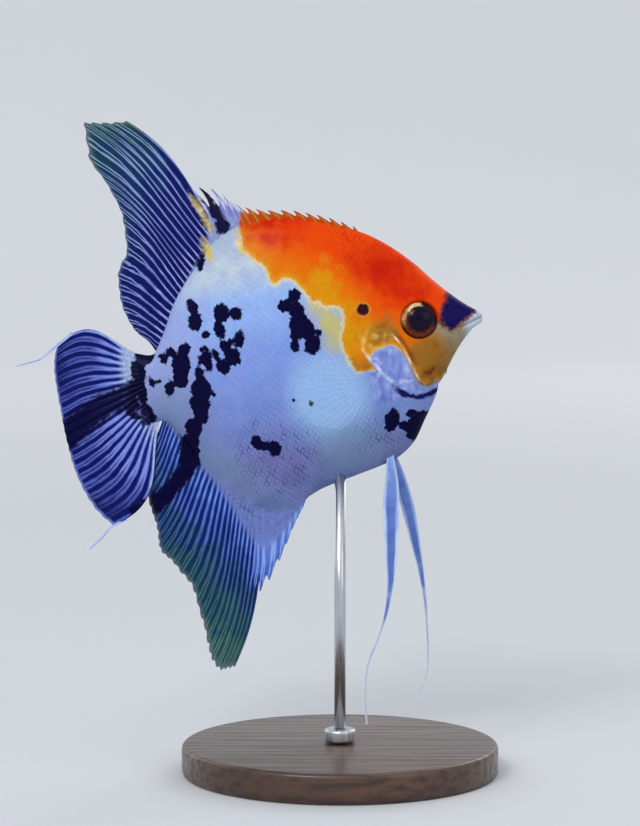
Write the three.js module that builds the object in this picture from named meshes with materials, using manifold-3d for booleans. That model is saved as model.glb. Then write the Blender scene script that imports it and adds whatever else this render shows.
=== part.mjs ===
// A freshwater angelfish of the koi form: a still, life-size model on a plain display stand.
// Millimetres, +Z up, head towards +X, so the fish's right side faces -Y.
// The origin is the middle of the underside of the stand's base.
// The fish is modelled level, in a group of its own whose origin is halfway along the body at
// mid-height, and the group is then pitched head-up and raised on the rod.
import * as THREE from "three";
import { mergeVertices } from "three/addons/utils/BufferGeometryUtils.js";
import Module from "manifold-3d";

const wasm = await Module();
wasm.setup();

// ---------- driving dimensions ----------
const GAP = 0.3; // clearance between pieces that meet
const PITCH = THREE.MathUtils.degToRad(12); // head-up tilt of the swimming fish
const FISH_HEIGHT = 111; // middle of the body above the floor
const FISH_BEHIND_ROD = 6.6; // the rod stands under the belly, a little ahead of the body's middle

const SNOUT = 45.2; // front tip of the lips
const STEM_END = -46; // end of the flesh, where the tail fin's rays spring
const TAIL_STEM_FRONT = -37; // parting between the trunk and the tail stem
const BODY_RINGS = 32;
const RING_CROWDING = 1.45; // over 1, the rings crowd towards the snout
const RING_POINTS = 24;

const EYE = { x: 28.7, z: 3.5, radius: 4.6, halfDepth: 3, proud: 1.1, sides: 16, rings: 10 };
const FIN_ROOT_DEPTH = 1.8; // how deep a fin's rays start inside the outline of the body
const RAY = { root: 0.62, tip: 0.34 }; // half the thickness of a fin at a ray
const WEB = { root: 0.36, tip: 0.25 }; // and at the skin between two rays
const BLADE = { front: 0.5, edge: 0.3 }; // half the thickness of a thread or pelvic fin
const BOW_PLACE = 1.6; // over 1, a bowed ray bends most beyond the middle of its length
// How the median fins bend sideways beyond a distance from the body's middle, towards +Y.
const SWAY = {
  dorsal: { from: 36, bend: 0.0012 },
  anal: { from: 36, bend: -0.0009 },
  tail: { from: 45, bend: -0.0035 },
};

const BASE = { radius: 42, height: 8, chamfer: 1.6, foot: 0.8, sides: 40 };
const COLLAR = { radius: 4.2, height: 3.4, chamfer: 0.8, sides: 20 };
const ROD = { radius: 1.5, sides: 12 };

// ---------- outlines of the body, from the tail to the snout ----------
// [x, z] of the back and of the belly, and [x, half the width] at the widest level.
const BACK = [
  [-46, 10.4], [-42, 9.1], [-39, 12.4], [-33, 21.8], [-25, 30], [-19, 35.2], [-11, 37.6],
  [-3, 37.4], [5, 35.4], [12, 32.4], [19, 28.9], [25, 24.2], [31, 17.7], [34, 13.6],
  [37.5, 9.3], [40.7, 5.8], [43, 3.7], [44.5, 2.5], [SNOUT, 1],
];
const BELLY = [
  [-46, -8.5], [-42.8, -8.9], [-39.5, -12.3], [-34.7, -21.2], [-28.5, -28.9], [-23, -34],
  [-17, -37], [-12, -36.9], [-5, -34.9], [3, -33.6], [10, -32.5], [15, -31.4], [18, -30],
  [21, -27.8], [25, -22.6], [28, -18.6], [31, -14.2], [34, -10], [37.5, -5.9],
  [40.8, -2.9], [43, -1.5], [44.5, -0.5], [SNOUT, 0.6],
];
const HALF_WIDTH = [
  [-46, 2.2], [-42, 3.2], [-36, 4.2], [-28, 5.4], [-18, 6.7], [-8, 7.7], [2, 8.3], [12, 8.6],
  [19, 8.3], [24, 7.7], [29, 6.9], [34, 5.7], [38, 4.4], [41, 3.4], [43, 2.8], [44.5, 2], [SNOUT, 0.9],
];
// How lens-like a cross-section is: 1 is an ellipse, and more has a sharper back and belly.
const KEEL = [[-46, 1.1], [-38, 1.3], [-20, 1.5], [10, 1.5], [28, 1.3], [37, 1.1], [SNOUT, 1]];

// ---------- outlines of the head's parts, seen from the side ----------
// Rear margin of the gill opening, from the nape down to the throat.
const GILL_MARGIN = [
  [17.5, 44], [18, 30], [20.4, 19], [21, 12], [16.4, 7.4], [13.3, 3], [12.2, -1], [13, -5.4],
  [15.6, -9.6], [19.4, -12.8], [23.4, -15.6], [25.6, -20], [26, -40],
];
// Front margin of the gill cover. It starts and ends behind the gill margin.
const COVER_FRONT = [
  [17, 14.4], [21.8, 12], [21.2, 7], [20.7, 1.6], [22, -3], [24.2, -8], [26, -12], [26.6, -14.8], [23, -19],
];
const COVER_DEPTH = 3.4; // how far from the middle plane the gill covers begin
const JAW = [[47, 0.7], [43, 0.3], [39.6, -0.5], [38.3, -2.8], [37.8, -6], [37.8, -14], [47, -14]];

// ---------- fins ----------
// Each key ray is [root x, root z, tip x, tip z, bow], and the rays between two keys follow them.
// A root z of null starts the ray inside the outline of the body. bow is how far the ray's middle
// stands off its chord, forwards on an upper fin.
const DORSAL_SPINES = {
  count: 12,
  rows: 2,
  notch: 0.34,
  keys: [
    [19, null, 17, 31, 0], [13, null, 9.6, 35.2, 0.2], [6, null, 2.4, 38.2, 0.3],
    [-2, null, -5.8, 40.2, 0.4], [-9, null, -12.2, 43, 0.5], [-13, null, -16.4, 47.6, 0.8],
    [-18.4, null, -24, 50.8, 1.4],
  ],
};
const DORSAL_RAYS = {
  count: 21,
  rows: 4,
  notch: 0.02,
  keys: [
    [-16.4, null, -35.4, 70.2, 2.6], [-19.4, null, -42.4, 71.3, 2.6], [-21.8, null, -47, 72.4, 2.4],
    [-24.4, null, -47.2, 63.6, 2], [-27, null, -44.2, 55.4, 1.6], [-29.6, null, -41.9, 46.6, 1.2],
    [-32, null, -42.6, 38, 1], [-34.4, null, -46.4, 31, 0.9], [-36.6, null, -47, 24.2, 0.8],
    [-38.6, null, -45.4, 17, 0.6], [-40.4, null, -42.4, 13, 0.2],
  ],
};
const ANAL_SPINES = {
  count: 6,
  rows: 2,
  notch: 0.2,
  keys: [
    [-8.4, null, -11.4, -38.6, 0], [-12, null, -15.2, -43.6, -0.3],
    [-15.8, null, -20.4, -51, -0.5], [-21, null, -26.8, -58, -0.6],
  ],
};
const ANAL_RAYS = {
  count: 22,
  rows: 4,
  notch: 0.02,
  keys: [
    [-19.4, null, -38, -76.4, -2], [-22, null, -41.6, -76.6, -2.3],
    [-24.6, null, -43.7, -72, -2], [-27, null, -43.9, -63.4, -1.8],
    [-29.6, null, -44.8, -54, -1.4], [-32, null, -48.2, -46.6, -1.2],
    [-34.4, null, -50.9, -41.4, -1.1], [-36.6, null, -50.6, -35, -1],
    [-38.6, null, -49.8, -28, -0.9], [-40.6, null, -46.6, -19.8, -0.6],
    [-42.2, null, -43.2, -11.6, -0.1],
  ],
};
const TAIL_RAYS = {
  count: 17,
  rows: 6,
  notch: 0.03,
  keys: [
    [-43.6, 8.8, -65.6, 17, 5], [-44, 6.8, -67.6, 11.6, 3.4], [-44.2, 4.7, -68.2, 5.4, 1.8],
    [-44.3, 2.6, -68.4, -1, 0.8], [-44.3, 0.5, -68.5, -7, 0], [-44.1, -1.6, -68.4, -13.2, -0.8],
    [-43.8, -3.6, -67.6, -19.4, -1.9], [-43.3, -5.5, -65.6, -26.4, -3.4],
    [-42.8, -7.2, -61.6, -33.2, -5.2],
  ],
};
const PECTORAL_RAYS = {
  count: 11,
  rows: 3,
  notch: 0.05,
  keys: [
    [11.4, -6.8, -2.6, -0.4, 1.4], [11.2, -8.2, -6.4, -5.2, 0.8], [11.1, -9.6, -7.2, -11.4, 0.2],
    [11.1, -10.9, -4.2, -17, -0.6], [11.4, -12, 2, -20, -1.2],
  ],
};
const PECTORAL_LIFT = 3.6; // how far the pectoral's hind edge stands off the flank

// Threads and pelvic fins: front edge as [x, z] points, root and thread widths, and spread.
const TAIL_THREADS = [
  [[-61, 18.6], [-66.4, 15.8], [-71.4, 13.6], [-77, 13.4]],
  [[-57.6, -32.4], [-61.6, -33.4], [-65, -35.8], [-68.8, -37.8]],
];
const THREAD = { width: 0.9, rows: 8 };
const PELVIC_RIGHT = [
  [14.8, -28.6], [14.6, -36], [12.8, -46], [8.9, -60], [5.6, -68.4], [1.2, -76.2], [-3, -82.6],
  [-4.9, -88], [-6.7, -98],
];
const PELVIC_LEFT = [
  [15, -28.6], [16.8, -37], [17.4, -46], [16.4, -62], [14.3, -78], [12, -89], [7.6, -95.8],
];
const PELVIC = {
  width: 4,
  thread: 0.9,
  fanFrom: 0.1, // shares of the length between which the fan narrows to the thread
  fanTo: 0.6,
  rootSpread: 1.3, // distance from the middle plane at the root and at the widest
  spread: 5.5,
  turn: 2, // radians of the sine that the spread follows from root to tip
  columns: 2,
  rows: 18,
};

// ---------- finishes ----------
function finish(color, roughness, metalness = 0) {
  return new THREE.MeshStandardMaterial({ color, roughness, metalness });
}
const ORANGE = finish(0xd2500a, 0.4);
const CHEEK = finish(0xa87628, 0.4);
const FLANK = finish(0x9fb4e0, 0.35);
const FIN = finish(0x5163b4, 0.45);
const EYEBALL = finish(0x120a10, 0.08);
const WOOD = finish(0x3b2417, 0.45);
const STEEL = finish(0xb9bcc0, 0.3, 1);

// ---------- curves ----------
// A smooth function through [x, value] points, in rising x, that doesn't overshoot between them.
function through(points) {
  const slopes = points.map((point, i) => {
    if (i === 0 || i === points.length - 1) return 0;
    const before = (point[1] - points[i - 1][1]) / (point[0] - points[i - 1][0]);
    const after = (points[i + 1][1] - point[1]) / (points[i + 1][0] - point[0]);
    return before * after > 0 ? (2 * before * after) / (before + after) : 0;
  });
  const last = points.length - 1;
  slopes[0] = (points[1][1] - points[0][1]) / (points[1][0] - points[0][0]);
  slopes[last] = (points[last][1] - points[last - 1][1]) / (points[last][0] - points[last - 1][0]);
  return (x) => {
    const next = points.findIndex((point) => point[0] >= x);
    const i = Math.max(0, (next < 0 ? last : next) - 1);
    const span = points[i + 1][0] - points[i][0];
    const t = THREE.MathUtils.clamp((x - points[i][0]) / span, 0, 1);
    const straight = THREE.MathUtils.lerp(points[i][1], points[i + 1][1], t * t * (3 - 2 * t));
    return straight + span * t * (1 - t) * ((1 - t) * slopes[i] - t * slopes[i + 1]);
  };
}

// One column of a list of key rays as a smooth function of u, from 0 at the first to 1 at the last.
function along(keys, column) {
  return through(keys.map((key, i) => [i / (keys.length - 1), key[column]]));
}

const back = through(BACK);
const belly = through(BELLY);
const halfWidth = through(HALF_WIDTH);
const keel = through(KEEL);

// Half the thickness of the body at a place in its side view.
function flank(x, z) {
  const middle = (back(x) + belly(x)) / 2;
  const level = Math.min(1, Math.abs(z - middle) / ((back(x) - belly(x)) / 2));
  return halfWidth(x) * (1 - level * level) ** (keel(x) / 2);
}

// ---------- closed meshes ----------
// Points as [x, y, z] and faces as triples of indices, turned so that the faces point out.
function closedMesh(points, faces) {
  const [a, b, c] = [new THREE.Vector3(), new THREE.Vector3(), new THREE.Vector3()];
  let volume = 0;
  for (const [i, j, k] of faces) {
    volume += a.fromArray(points[i]).dot(b.fromArray(points[j]).cross(c.fromArray(points[k])));
  }
  const outward = volume > 0 ? faces : faces.map(([i, j, k]) => [i, k, j]);
  const geometry = new THREE.BufferGeometry();
  geometry.setAttribute("position", new THREE.Float32BufferAttribute(points.flat(), 3));
  geometry.setIndex(outward.flat());
  return geometry;
}

// Rings of equally many points, joined in order, each end closed on the middle of its ring.
function loft(rings) {
  const count = rings[0].length;
  const points = rings.flat();
  const faces = [];
  for (let r = 0; r < rings.length - 1; r++) {
    for (let p = 0; p < count; p++) {
      const [here, side] = [r * count + p, r * count + ((p + 1) % count)];
      faces.push([here, side, side + count], [here, side + count, here + count]);
    }
  }
  for (const [ring, first] of [[rings[0], 0], [rings.at(-1), (rings.length - 1) * count]]) {
    const middle = [0, 1, 2].map((axis) => ring.reduce((sum, point) => sum + point[axis], 0) / count);
    for (let p = 0; p < count; p++) {
      const edge = [first + p, first + ((p + 1) % count)];
      faces.push(first === 0 ? [edge[1], edge[0], points.length] : [edge[0], edge[1], points.length]);
    }
    points.push(middle);
  }
  return closedMesh(points, faces);
}

// A thin sheet with two faces. at(column, row, side) gives a point, and side is 1 or -1.
function sheet(columns, rows, at) {
  const points = [];
  for (const side of [1, -1]) {
    for (let c = 0; c <= columns; c++) {
      for (let r = 0; r <= rows; r++) points.push(at(c / columns, r / rows, side));
    }
  }
  const index = (c, r, face) => face * (columns + 1) * (rows + 1) + c * (rows + 1) + r;
  const faces = [];
  const quad = (i, j, k, l) => faces.push([i, j, k], [i, k, l]);
  for (let c = 0; c < columns; c++) {
    for (let r = 0; r < rows; r++) {
      quad(index(c, r, 0), index(c + 1, r, 0), index(c + 1, r + 1, 0), index(c, r + 1, 0));
      quad(index(c, r, 1), index(c, r + 1, 1), index(c + 1, r + 1, 1), index(c + 1, r, 1));
    }
    quad(index(c, 0, 0), index(c, 0, 1), index(c + 1, 0, 1), index(c + 1, 0, 0));
    quad(index(c, rows, 0), index(c + 1, rows, 0), index(c + 1, rows, 1), index(c, rows, 1));
  }
  for (let r = 0; r < rows; r++) {
    quad(index(0, r, 0), index(0, r + 1, 0), index(0, r + 1, 1), index(0, r, 1));
    quad(index(columns, r, 0), index(columns, r, 1), index(columns, r + 1, 1), index(columns, r + 1, 0));
  }
  return closedMesh(points, faces);
}

// A side view's outline as a block that runs from y = low to y = high.
function block(outline, low, high) {
  const shape = new THREE.Shape(outline.map(([x, z]) => new THREE.Vector2(x, z)));
  const geometry = new THREE.ExtrudeGeometry(shape, { depth: high - low, bevelEnabled: false });
  return geometry.rotateX(Math.PI / 2).translate(0, high, 0);
}

function turned(profile, sides) {
  const points = profile.map(([radius, height]) => new THREE.Vector2(radius, height));
  return new THREE.LatheGeometry(points, sides).rotateX(Math.PI / 2);
}

// ---------- solids ----------
function solid(geometry) {
  const bare = geometry.clone();
  bare.deleteAttribute("normal");
  bare.deleteAttribute("uv");
  const merged = mergeVertices(bare, 1e-5);
  const vertProperties = new Float32Array(merged.attributes.position.array);
  const triVerts = new Uint32Array(merged.index.array);
  return new wasm.Manifold(new wasm.Mesh({ numProp: 3, vertProperties, triVerts }));
}

function named(name, shape, material) {
  const { vertProperties, triVerts } = shape.getMesh();
  const geometry = new THREE.BufferGeometry();
  geometry.setAttribute("position", new THREE.Float32BufferAttribute(vertProperties, 3));
  geometry.setIndex(new THREE.Uint32BufferAttribute(triVerts, 1));
  geometry.computeVertexNormals();
  const mesh = new THREE.Mesh(geometry, material);
  mesh.name = name;
  return mesh;
}

// ---------- the body ----------
// The whole body from lips to tail root, swollen by grow on every side.
function wholeBody(grow) {
  const rings = [];
  for (let r = 0; r <= BODY_RINGS; r++) {
    const x = THREE.MathUtils.lerp(SNOUT, STEM_END, (r / BODY_RINGS) ** RING_CROWDING);
    const place = THREE.MathUtils.mapLinear(x, SNOUT, STEM_END, SNOUT + grow, STEM_END - grow);
    const middle = (back(x) + belly(x)) / 2;
    const halfHeight = (back(x) - belly(x)) / 2 + grow;
    const ring = [];
    for (let p = 0; p < RING_POINTS; p++) {
      const angle = (2 * Math.PI * p) / RING_POINTS;
      const bulge = Math.abs(Math.cos(angle)) ** keel(x);
      const y = Math.sign(Math.cos(angle)) * (halfWidth(x) * bulge + grow * Math.abs(Math.cos(angle)));
      ring.push([place, y, middle + halfHeight * Math.sin(angle)]);
    }
    rings.push(ring);
  }
  return solid(loft(rings));
}

// A line of points moved sideways by a distance, to its right as it runs.
function shifted(line, distance) {
  return line.map(([x, z], i) => {
    const [before, after] = [line[Math.max(0, i - 1)], line[Math.min(line.length - 1, i + 1)]];
    const [dx, dz] = [after[0] - before[0], after[1] - before[1]];
    const length = Math.hypot(dx, dz);
    return [x + (distance * dz) / length, z - (distance * dx) / length];
  });
}

const FAR = 60; // clear of the body on every side
const OVERRUN = 1; // how far a gill cover's cutting block runs past the head
const bareBody = wholeBody(0);
const bodyRoom = wholeBody(GAP);

function headBlock(grow) {
  return solid(block([...shifted(GILL_MARGIN, grow), [FAR, -40], [FAR, 44]], -FAR, FAR));
}

function coverBlock(side, grow) {
  const front = shifted(COVER_FRONT, -grow);
  const rear = shifted(GILL_MARGIN.slice(3, 11), OVERRUN);
  const [low, high] = [COVER_DEPTH - grow, FAR];
  return solid(block([...front, ...rear.toReversed()], side > 0 ? low : -high, side > 0 ? high : -low));
}

function jawBlock(grow) {
  return solid(block([...shifted(JAW.slice(0, 6), grow), JAW[6]], -FAR, FAR));
}

function eyeball(side, grow) {
  const geometry = new THREE.SphereGeometry(1, EYE.sides, EYE.rings);
  geometry.scale(EYE.radius + grow, EYE.halfDepth + grow, EYE.radius + grow);
  const y = side * (flank(EYE.x, EYE.z) + EYE.proud - EYE.halfDepth);
  return solid(geometry.translate(EYE.x, y, EYE.z));
}

function bodyParts() {
  let head = bareBody.intersect(headBlock(0));
  const behindHead = bareBody.subtract(headBlock(GAP));
  const stemBlock = (front) =>
    solid(block([[front, -FAR], [front, FAR], [-2 * FAR, FAR], [-2 * FAR, -FAR]], -FAR, FAR));
  const trunk = behindHead.subtract(stemBlock(TAIL_STEM_FRONT + GAP));
  const stem = behindHead.intersect(stemBlock(TAIL_STEM_FRONT));
  const jaw = head.intersect(jawBlock(0));
  head = head.subtract(jawBlock(GAP));
  const parts = [];
  for (const [side, name] of [[1, "left"], [-1, "right"]]) {
    const cover = bareBody.intersect(headBlock(0)).intersect(coverBlock(side, 0));
    parts.push(named(`gill_cover_${name}`, cover, CHEEK));
    parts.push(named(`eye_${name}`, eyeball(side, 0), EYEBALL));
    head = head.subtract(coverBlock(side, GAP)).subtract(eyeball(side, GAP));
  }
  parts.push(named("head", head, ORANGE));
  parts.push(named("lower_jaw", jaw, CHEEK));
  parts.push(named("trunk", trunk, FLANK));
  parts.push(named("tail_stem", stem, FLANK));
  return parts;
}

// ---------- the fins ----------
// A fan of rays with ribs at the rays and the skin sunk between them. place(x, z, v) gives the
// middle of the fin's thickness as y, v running from 0 at the roots to 1 at the tips.
function rayFan(fan, upper, place) {
  const [rootX, tipX, tipZ, bow] = [0, 2, 3, 4].map((column) => along(fan.keys, column));
  const rooted = fan.keys[0][1] !== null;
  const inside = (x) => (upper ? back(x) - FIN_ROOT_DEPTH : belly(x) + FIN_ROOT_DEPTH);
  const rootZ = rooted ? along(fan.keys, 1) : (u) => inside(rootX(u));
  const columns = 2 * (fan.count - 1);
  return sheet(columns, fan.rows, (u, share, side) => {
    const web = Math.round(u * columns) % 2 === 1;
    const v = web ? share * (1 - fan.notch) : share;
    const [dx, dz] = [tipX(u) - rootX(u), tipZ(u) - rootZ(u)];
    const off = (bow(u) * Math.sin(Math.PI * v ** BOW_PLACE)) / Math.hypot(dx, dz);
    const x = rootX(u) + dx * v + off * dz;
    const z = rootZ(u) + dz * v - off * dx;
    const size = web ? WEB : RAY;
    return [x, place(x, z, v) + side * THREE.MathUtils.lerp(size.root, size.tip, v), z];
  });
}

// A blade behind a curved front edge, thick at the front. width(v) and y(v) run from root to tip.
function blade(points, columns, rows, width, y) {
  const path = new THREE.CatmullRomCurve3(points.map(([x, z]) => new THREE.Vector3(x, 0, z)));
  return sheet(columns, rows, (u, v, side) => {
    const front = path.getPointAt(v);
    const run = path.getTangentAt(v);
    const reach = u * width(v);
    const thick = THREE.MathUtils.lerp(BLADE.front, BLADE.edge, Math.max(u, v));
    return [front.x + reach * run.z, y(v) + side * thick, front.z - reach * run.x];
  });
}

function sway({ from, bend }, distance) {
  return bend * Math.max(0, distance - from) ** 2;
}

function tailThread(points) {
  const root = points[0][0];
  const reach = points.at(-1)[0] - root;
  const onTail = (v) => sway(SWAY.tail, -root - reach * v);
  return solid(blade(points, 1, THREAD.rows, () => THREAD.width, onTail));
}

function medianFins() {
  const onDorsal = (x, z) => sway(SWAY.dorsal, z);
  const onAnal = (x, z) => sway(SWAY.anal, -z);
  const dorsal = solid(rayFan(DORSAL_SPINES, true, onDorsal));
  const anal = solid(rayFan(ANAL_SPINES, false, onAnal));
  const wholeDorsal = dorsal.add(solid(rayFan(DORSAL_RAYS, true, onDorsal)));
  const wholeAnal = anal.add(solid(rayFan(ANAL_RAYS, false, onAnal)));
  let wholeTail = solid(rayFan(TAIL_RAYS, true, (x) => sway(SWAY.tail, -x)));
  for (const points of TAIL_THREADS) wholeTail = wholeTail.add(tailThread(points));
  return [
    named("dorsal_fin", wholeDorsal.subtract(bodyRoom), FIN),
    named("anal_fin", wholeAnal.subtract(bodyRoom), FIN),
    named("caudal_fin", wholeTail.subtract(bodyRoom), FIN),
  ];
}

function pairedFins(side, name, pelvicPoints) {
  const onFlank = (x, z, v) => side * (flank(x, z) + GAP + RAY.root + PECTORAL_LIFT * v * v);
  const pectoral = solid(rayFan(PECTORAL_RAYS, true, onFlank));
  const width = (v) => {
    const fan = 1 - THREE.MathUtils.smoothstep(v, PELVIC.fanFrom, PELVIC.fanTo);
    return THREE.MathUtils.lerp(PELVIC.thread, PELVIC.width, fan);
  };
  const spread = (v) =>
    side * THREE.MathUtils.lerp(PELVIC.rootSpread, PELVIC.spread, Math.sin(v * PELVIC.turn));
  const pelvic = solid(blade(pelvicPoints, PELVIC.columns, PELVIC.rows, width, spread));
  return [
    named(`pectoral_fin_${name}`, pectoral.subtract(bodyRoom), FIN),
    named(`pelvic_fin_${name}`, pelvic.subtract(bodyRoom), FIN),
  ];
}

// ---------- the stand ----------
function stand() {
  const edge = BASE.radius - BASE.chamfer;
  const base = [[0, 0], [BASE.radius - BASE.foot, 0], [BASE.radius, BASE.foot]];
  base.push([BASE.radius, BASE.height - BASE.chamfer], [edge, BASE.height], [0, BASE.height]);
  const foot = BASE.height + GAP;
  const collar = [[ROD.radius + GAP, foot], [COLLAR.radius, foot]];
  const top = foot + COLLAR.height;
  collar.push([COLLAR.radius, top - COLLAR.chamfer]);
  collar.push([COLLAR.radius - COLLAR.chamfer, top], [ROD.radius + GAP, top]);
  collar.push(collar[0]);
  const rod = [[0, foot], [ROD.radius, foot], [ROD.radius, FISH_HEIGHT], [0, FISH_HEIGHT]];
  const pitch = THREE.MathUtils.radToDeg(PITCH);
  const fishRoom = bodyRoom.rotate([0, -pitch, 0]).translate([-FISH_BEHIND_ROD, 0, FISH_HEIGHT]);
  const belowFish = solid(turned(rod, ROD.sides)).subtract(fishRoom).decompose()[0];
  return [
    named("stand_base", solid(turned(base, BASE.sides)), WOOD),
    named("stand_collar", solid(turned(collar, COLLAR.sides)), STEEL),
    named("stand_rod", belowFish, STEEL),
  ];
}

// ---------- the model ----------
const fish = new THREE.Group();
fish.add(...bodyParts());
fish.add(...medianFins());
fish.add(...pairedFins(1, "left", PELVIC_LEFT));
fish.add(...pairedFins(-1, "right", PELVIC_RIGHT));
fish.rotation.y = -PITCH;
fish.position.set(-FISH_BEHIND_ROD, 0, FISH_HEIGHT);

const group = new THREE.Group();
group.add(fish, ...stand());

export default group;
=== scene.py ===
"""A koi angelfish, swimming head-up on a plain display stand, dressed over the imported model.

The fish is drawn in a level frame of its own, in millimetres: x runs forward to the snout, y to its
left side and z up, with the origin halfway along the body. level_to_row() takes that frame to the
model's own. One skin replaces the flesh nodes, plates of scales lie over it, and both carry the same
markings, which are named patches whose distances are stored on the meshes and read by the materials.
"""
import math

import bpy
import numpy as np
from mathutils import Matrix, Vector


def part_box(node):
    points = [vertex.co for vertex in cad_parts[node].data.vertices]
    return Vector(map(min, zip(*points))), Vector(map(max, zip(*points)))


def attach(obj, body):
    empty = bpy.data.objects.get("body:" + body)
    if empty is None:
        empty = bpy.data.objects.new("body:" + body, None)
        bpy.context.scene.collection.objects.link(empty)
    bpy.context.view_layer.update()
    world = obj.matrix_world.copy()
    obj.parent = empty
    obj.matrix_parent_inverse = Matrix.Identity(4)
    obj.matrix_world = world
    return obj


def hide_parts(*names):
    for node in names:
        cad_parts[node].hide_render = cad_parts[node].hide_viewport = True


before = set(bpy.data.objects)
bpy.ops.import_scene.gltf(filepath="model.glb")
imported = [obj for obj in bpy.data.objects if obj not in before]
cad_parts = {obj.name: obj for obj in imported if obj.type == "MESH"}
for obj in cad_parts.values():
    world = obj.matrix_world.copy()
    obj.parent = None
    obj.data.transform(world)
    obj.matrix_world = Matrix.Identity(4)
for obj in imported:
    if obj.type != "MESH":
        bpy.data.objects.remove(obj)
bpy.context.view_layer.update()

rng = np.random.default_rng(11)

# ---------- sizes, in millimetres ----------
MM = 0.001
PITCH = math.radians(12)  # head-up tilt of the swimming fish
SNOUT = 45.2
STEM_END = -46.0
EYE_X, EYE_Z, EYE_RADIUS, EYE_HALF_DEPTH, EYE_PROUD = 28.7, 3.5, 4.8, 3.0, 1.1
EYE_DOME = 4.74  # radius of the part of the eyeball that shows
SOCKET_INNER, SOCKET_OUTER, SOCKET_DEPTH = 4.6, 5.2, 1.7  # radii of its socket's wall, and depth
FIN_ROOT_DEPTH = 1.8  # how deep the rays start inside the outline of the body
COAT = 0.16  # depth of the scales over the skin
SCALE_LENGTH = 1.36  # spacing of the scales along a row, in gaps between rows
RIGHT, LEFT = -1, 1
SIDES = [(LEFT, "left"), (RIGHT, "right")]
PINHOLE = 0.001  # radius at which a turned profile stops short of its axis
MERGING = 0.14  # how far apart two blotches still run together
THINNING = 0.26  # how much sharper each millimetre of sheath makes the belly's cross-section

# [x, z] of the back and of the belly, and [x, half the width] at the widest level.
BACK = [
    (-46, 10.4), (-42, 9.1), (-39, 12.4), (-33, 21.8), (-25, 30), (-19, 35.2), (-11, 37.6),
    (-3, 37.4), (5, 35.4), (12, 32.4), (19, 28.9), (25, 24.2), (31, 17.7), (34, 13.6),
    (37.5, 9.3), (40.7, 5.8), (43, 3.7), (44.5, 2.5), (SNOUT, 1),
]
BELLY = [
    (-46, -8.5), (-42.8, -8.9), (-39.5, -12.3), (-34.7, -21.2), (-28.5, -28.9), (-23, -34),
    (-17, -37), (-12, -36.9), (-5, -34.9), (3, -33.6), (10, -32.5), (15, -31.4), (18, -30),
    (21, -27.8), (25, -22.6), (28, -18.6), (31, -14.2), (34, -10), (37.5, -5.9),
    (40.8, -2.9), (43, -1.5), (44.5, -0.5), (SNOUT, 0.6),
]
HALF_WIDTH = [
    (-46, 2.2), (-42, 3.2), (-36, 4.2), (-28, 5.4), (-18, 6.7), (-8, 7.7), (2, 8.3), (12, 8.6),
    (19, 8.3), (24, 7.7), (29, 6.9), (34, 5.7), (38, 4.4), (41, 3.4), (43, 2.8), (44.5, 2),
    (SNOUT, 0.9),
]
# How lens-like a cross-section is: 1 is an ellipse, and more has a sharper back and belly.
KEEL = [(-46, 1.1), (-38, 1.3), (-20, 1.5), (10, 1.5), (28, 1.3), (37, 1.1), (SNOUT, 1)]
# [x, depth] of the thin scaly sheath that the belly sends down over the root of the anal fin.
SHEATH = [(-41, 0), (-37, 1.6), (-31, 4), (-25, 5.6), (-19, 5.4), (-15, 3.6), (-12, 1.4), (-9.4, 0)]


def flowing(points, steps=6):
    """Points of a smooth curve through a few points."""
    line = np.array([points[0], *points, points[-1]], float)
    t = np.linspace(0, 1, steps, endpoint=False)[:, None]
    curve = []
    for a, b, c, d in zip(line, line[1:], line[2:], line[3:]):
        bend = (2 * a - 5 * b + 4 * c - d) * t + (3 * (b - c) + d - a) * t * t
        curve.append(b + 0.5 * t * (c - a + bend))
    return [tuple(point) for point in np.concatenate([*curve, line[-1:]])]


# ---------- lines on the head, seen from the side ----------
GILL_MARGIN = flowing([
    (21.2, 11), (18.2, 8.4), (15.4, 5.6), (13.2, 2.6), (12.1, 0), (12.1, -1.7), (13, -3.4),
    (14.5, -5.9), (16, -8.7), (18, -11.3), (20.8, -13.9), (23.6, -15.5), (26.6, -15.7),
    (29.4, -15.1), (31.6, -13.6),
])
CHEEK_EDGE = flowing([
    (20.4, 1.8), (21.3, 0), (22.4, -2.2), (23.3, -5.2), (24, -8), (24.6, -10.4), (25.4, -12.4),
    (27.2, -13.6), (29.9, -13.1), (32.4, -12),
])
MOUTH = flowing([(46, 0.8), (43, 0.35), (39.6, -0.6)])
LIP_FOLD = flowing([(39.6, -0.6), (38.3, -2.4), (38, -4.4)])
UNDER_EYE = flowing([(33.6, 1.4), (36, 0.1), (38.6, -1)])
NOSTRIL = (36.7, 5.4)

# ---------- markings ----------
# The orange cap: down its rear edge from the dorsal fin, round the gill cover's pale window, along
# the cheek's lower edge to the throat, and then well outside the head.
CAP = [
    (-8, 60), (-9.4, 44), (-11, 40.4), (-12.4, 37.6), (-12.2, 35.4), (-12.5, 32.5), (-12.5, 30.8),
    (-11.2, 29.5), (-10.4, 28.2), (-8.9, 26.7), (-7.6, 25), (-7.4, 23.1), (-7.1, 21.7),
    (-6.4, 20.8), (-5.2, 21.1), (-3.9, 21.8), (-2.6, 21.4), (-1.3, 20.4), (-0.2, 19.1),
    (0.9, 17.8), (1.4, 16.3), (2.3, 14.8), (4.2, 14), (5.6, 12.4), (8.3, 12), (9.8, 10.3),
    (9.5, 8.2), (9.1, 5.8), (8.2, 4), (7.7, 2.2), (7.7, 0.5), (8.4, -1.4), (9.1, -3), (9.4, -4.5),
    (9.8, -5.6), (11.7, -6.3), (13.2, -6.1), (14.5, -6.6), (14, -5.2), (13.4, -3.8),
    (14.2, -2.6), (15.2, -1.7), (17.2, -1.3), (19.3, -0.8), (20.7, -1.6), (22.2, -2.6),
    (23.3, -5.2), (24, -8), (24.6, -10.4), (25.4, -12.6), (27.2, -13.8), (33, -13), (60, -8),
    (60, 60),
]
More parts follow.
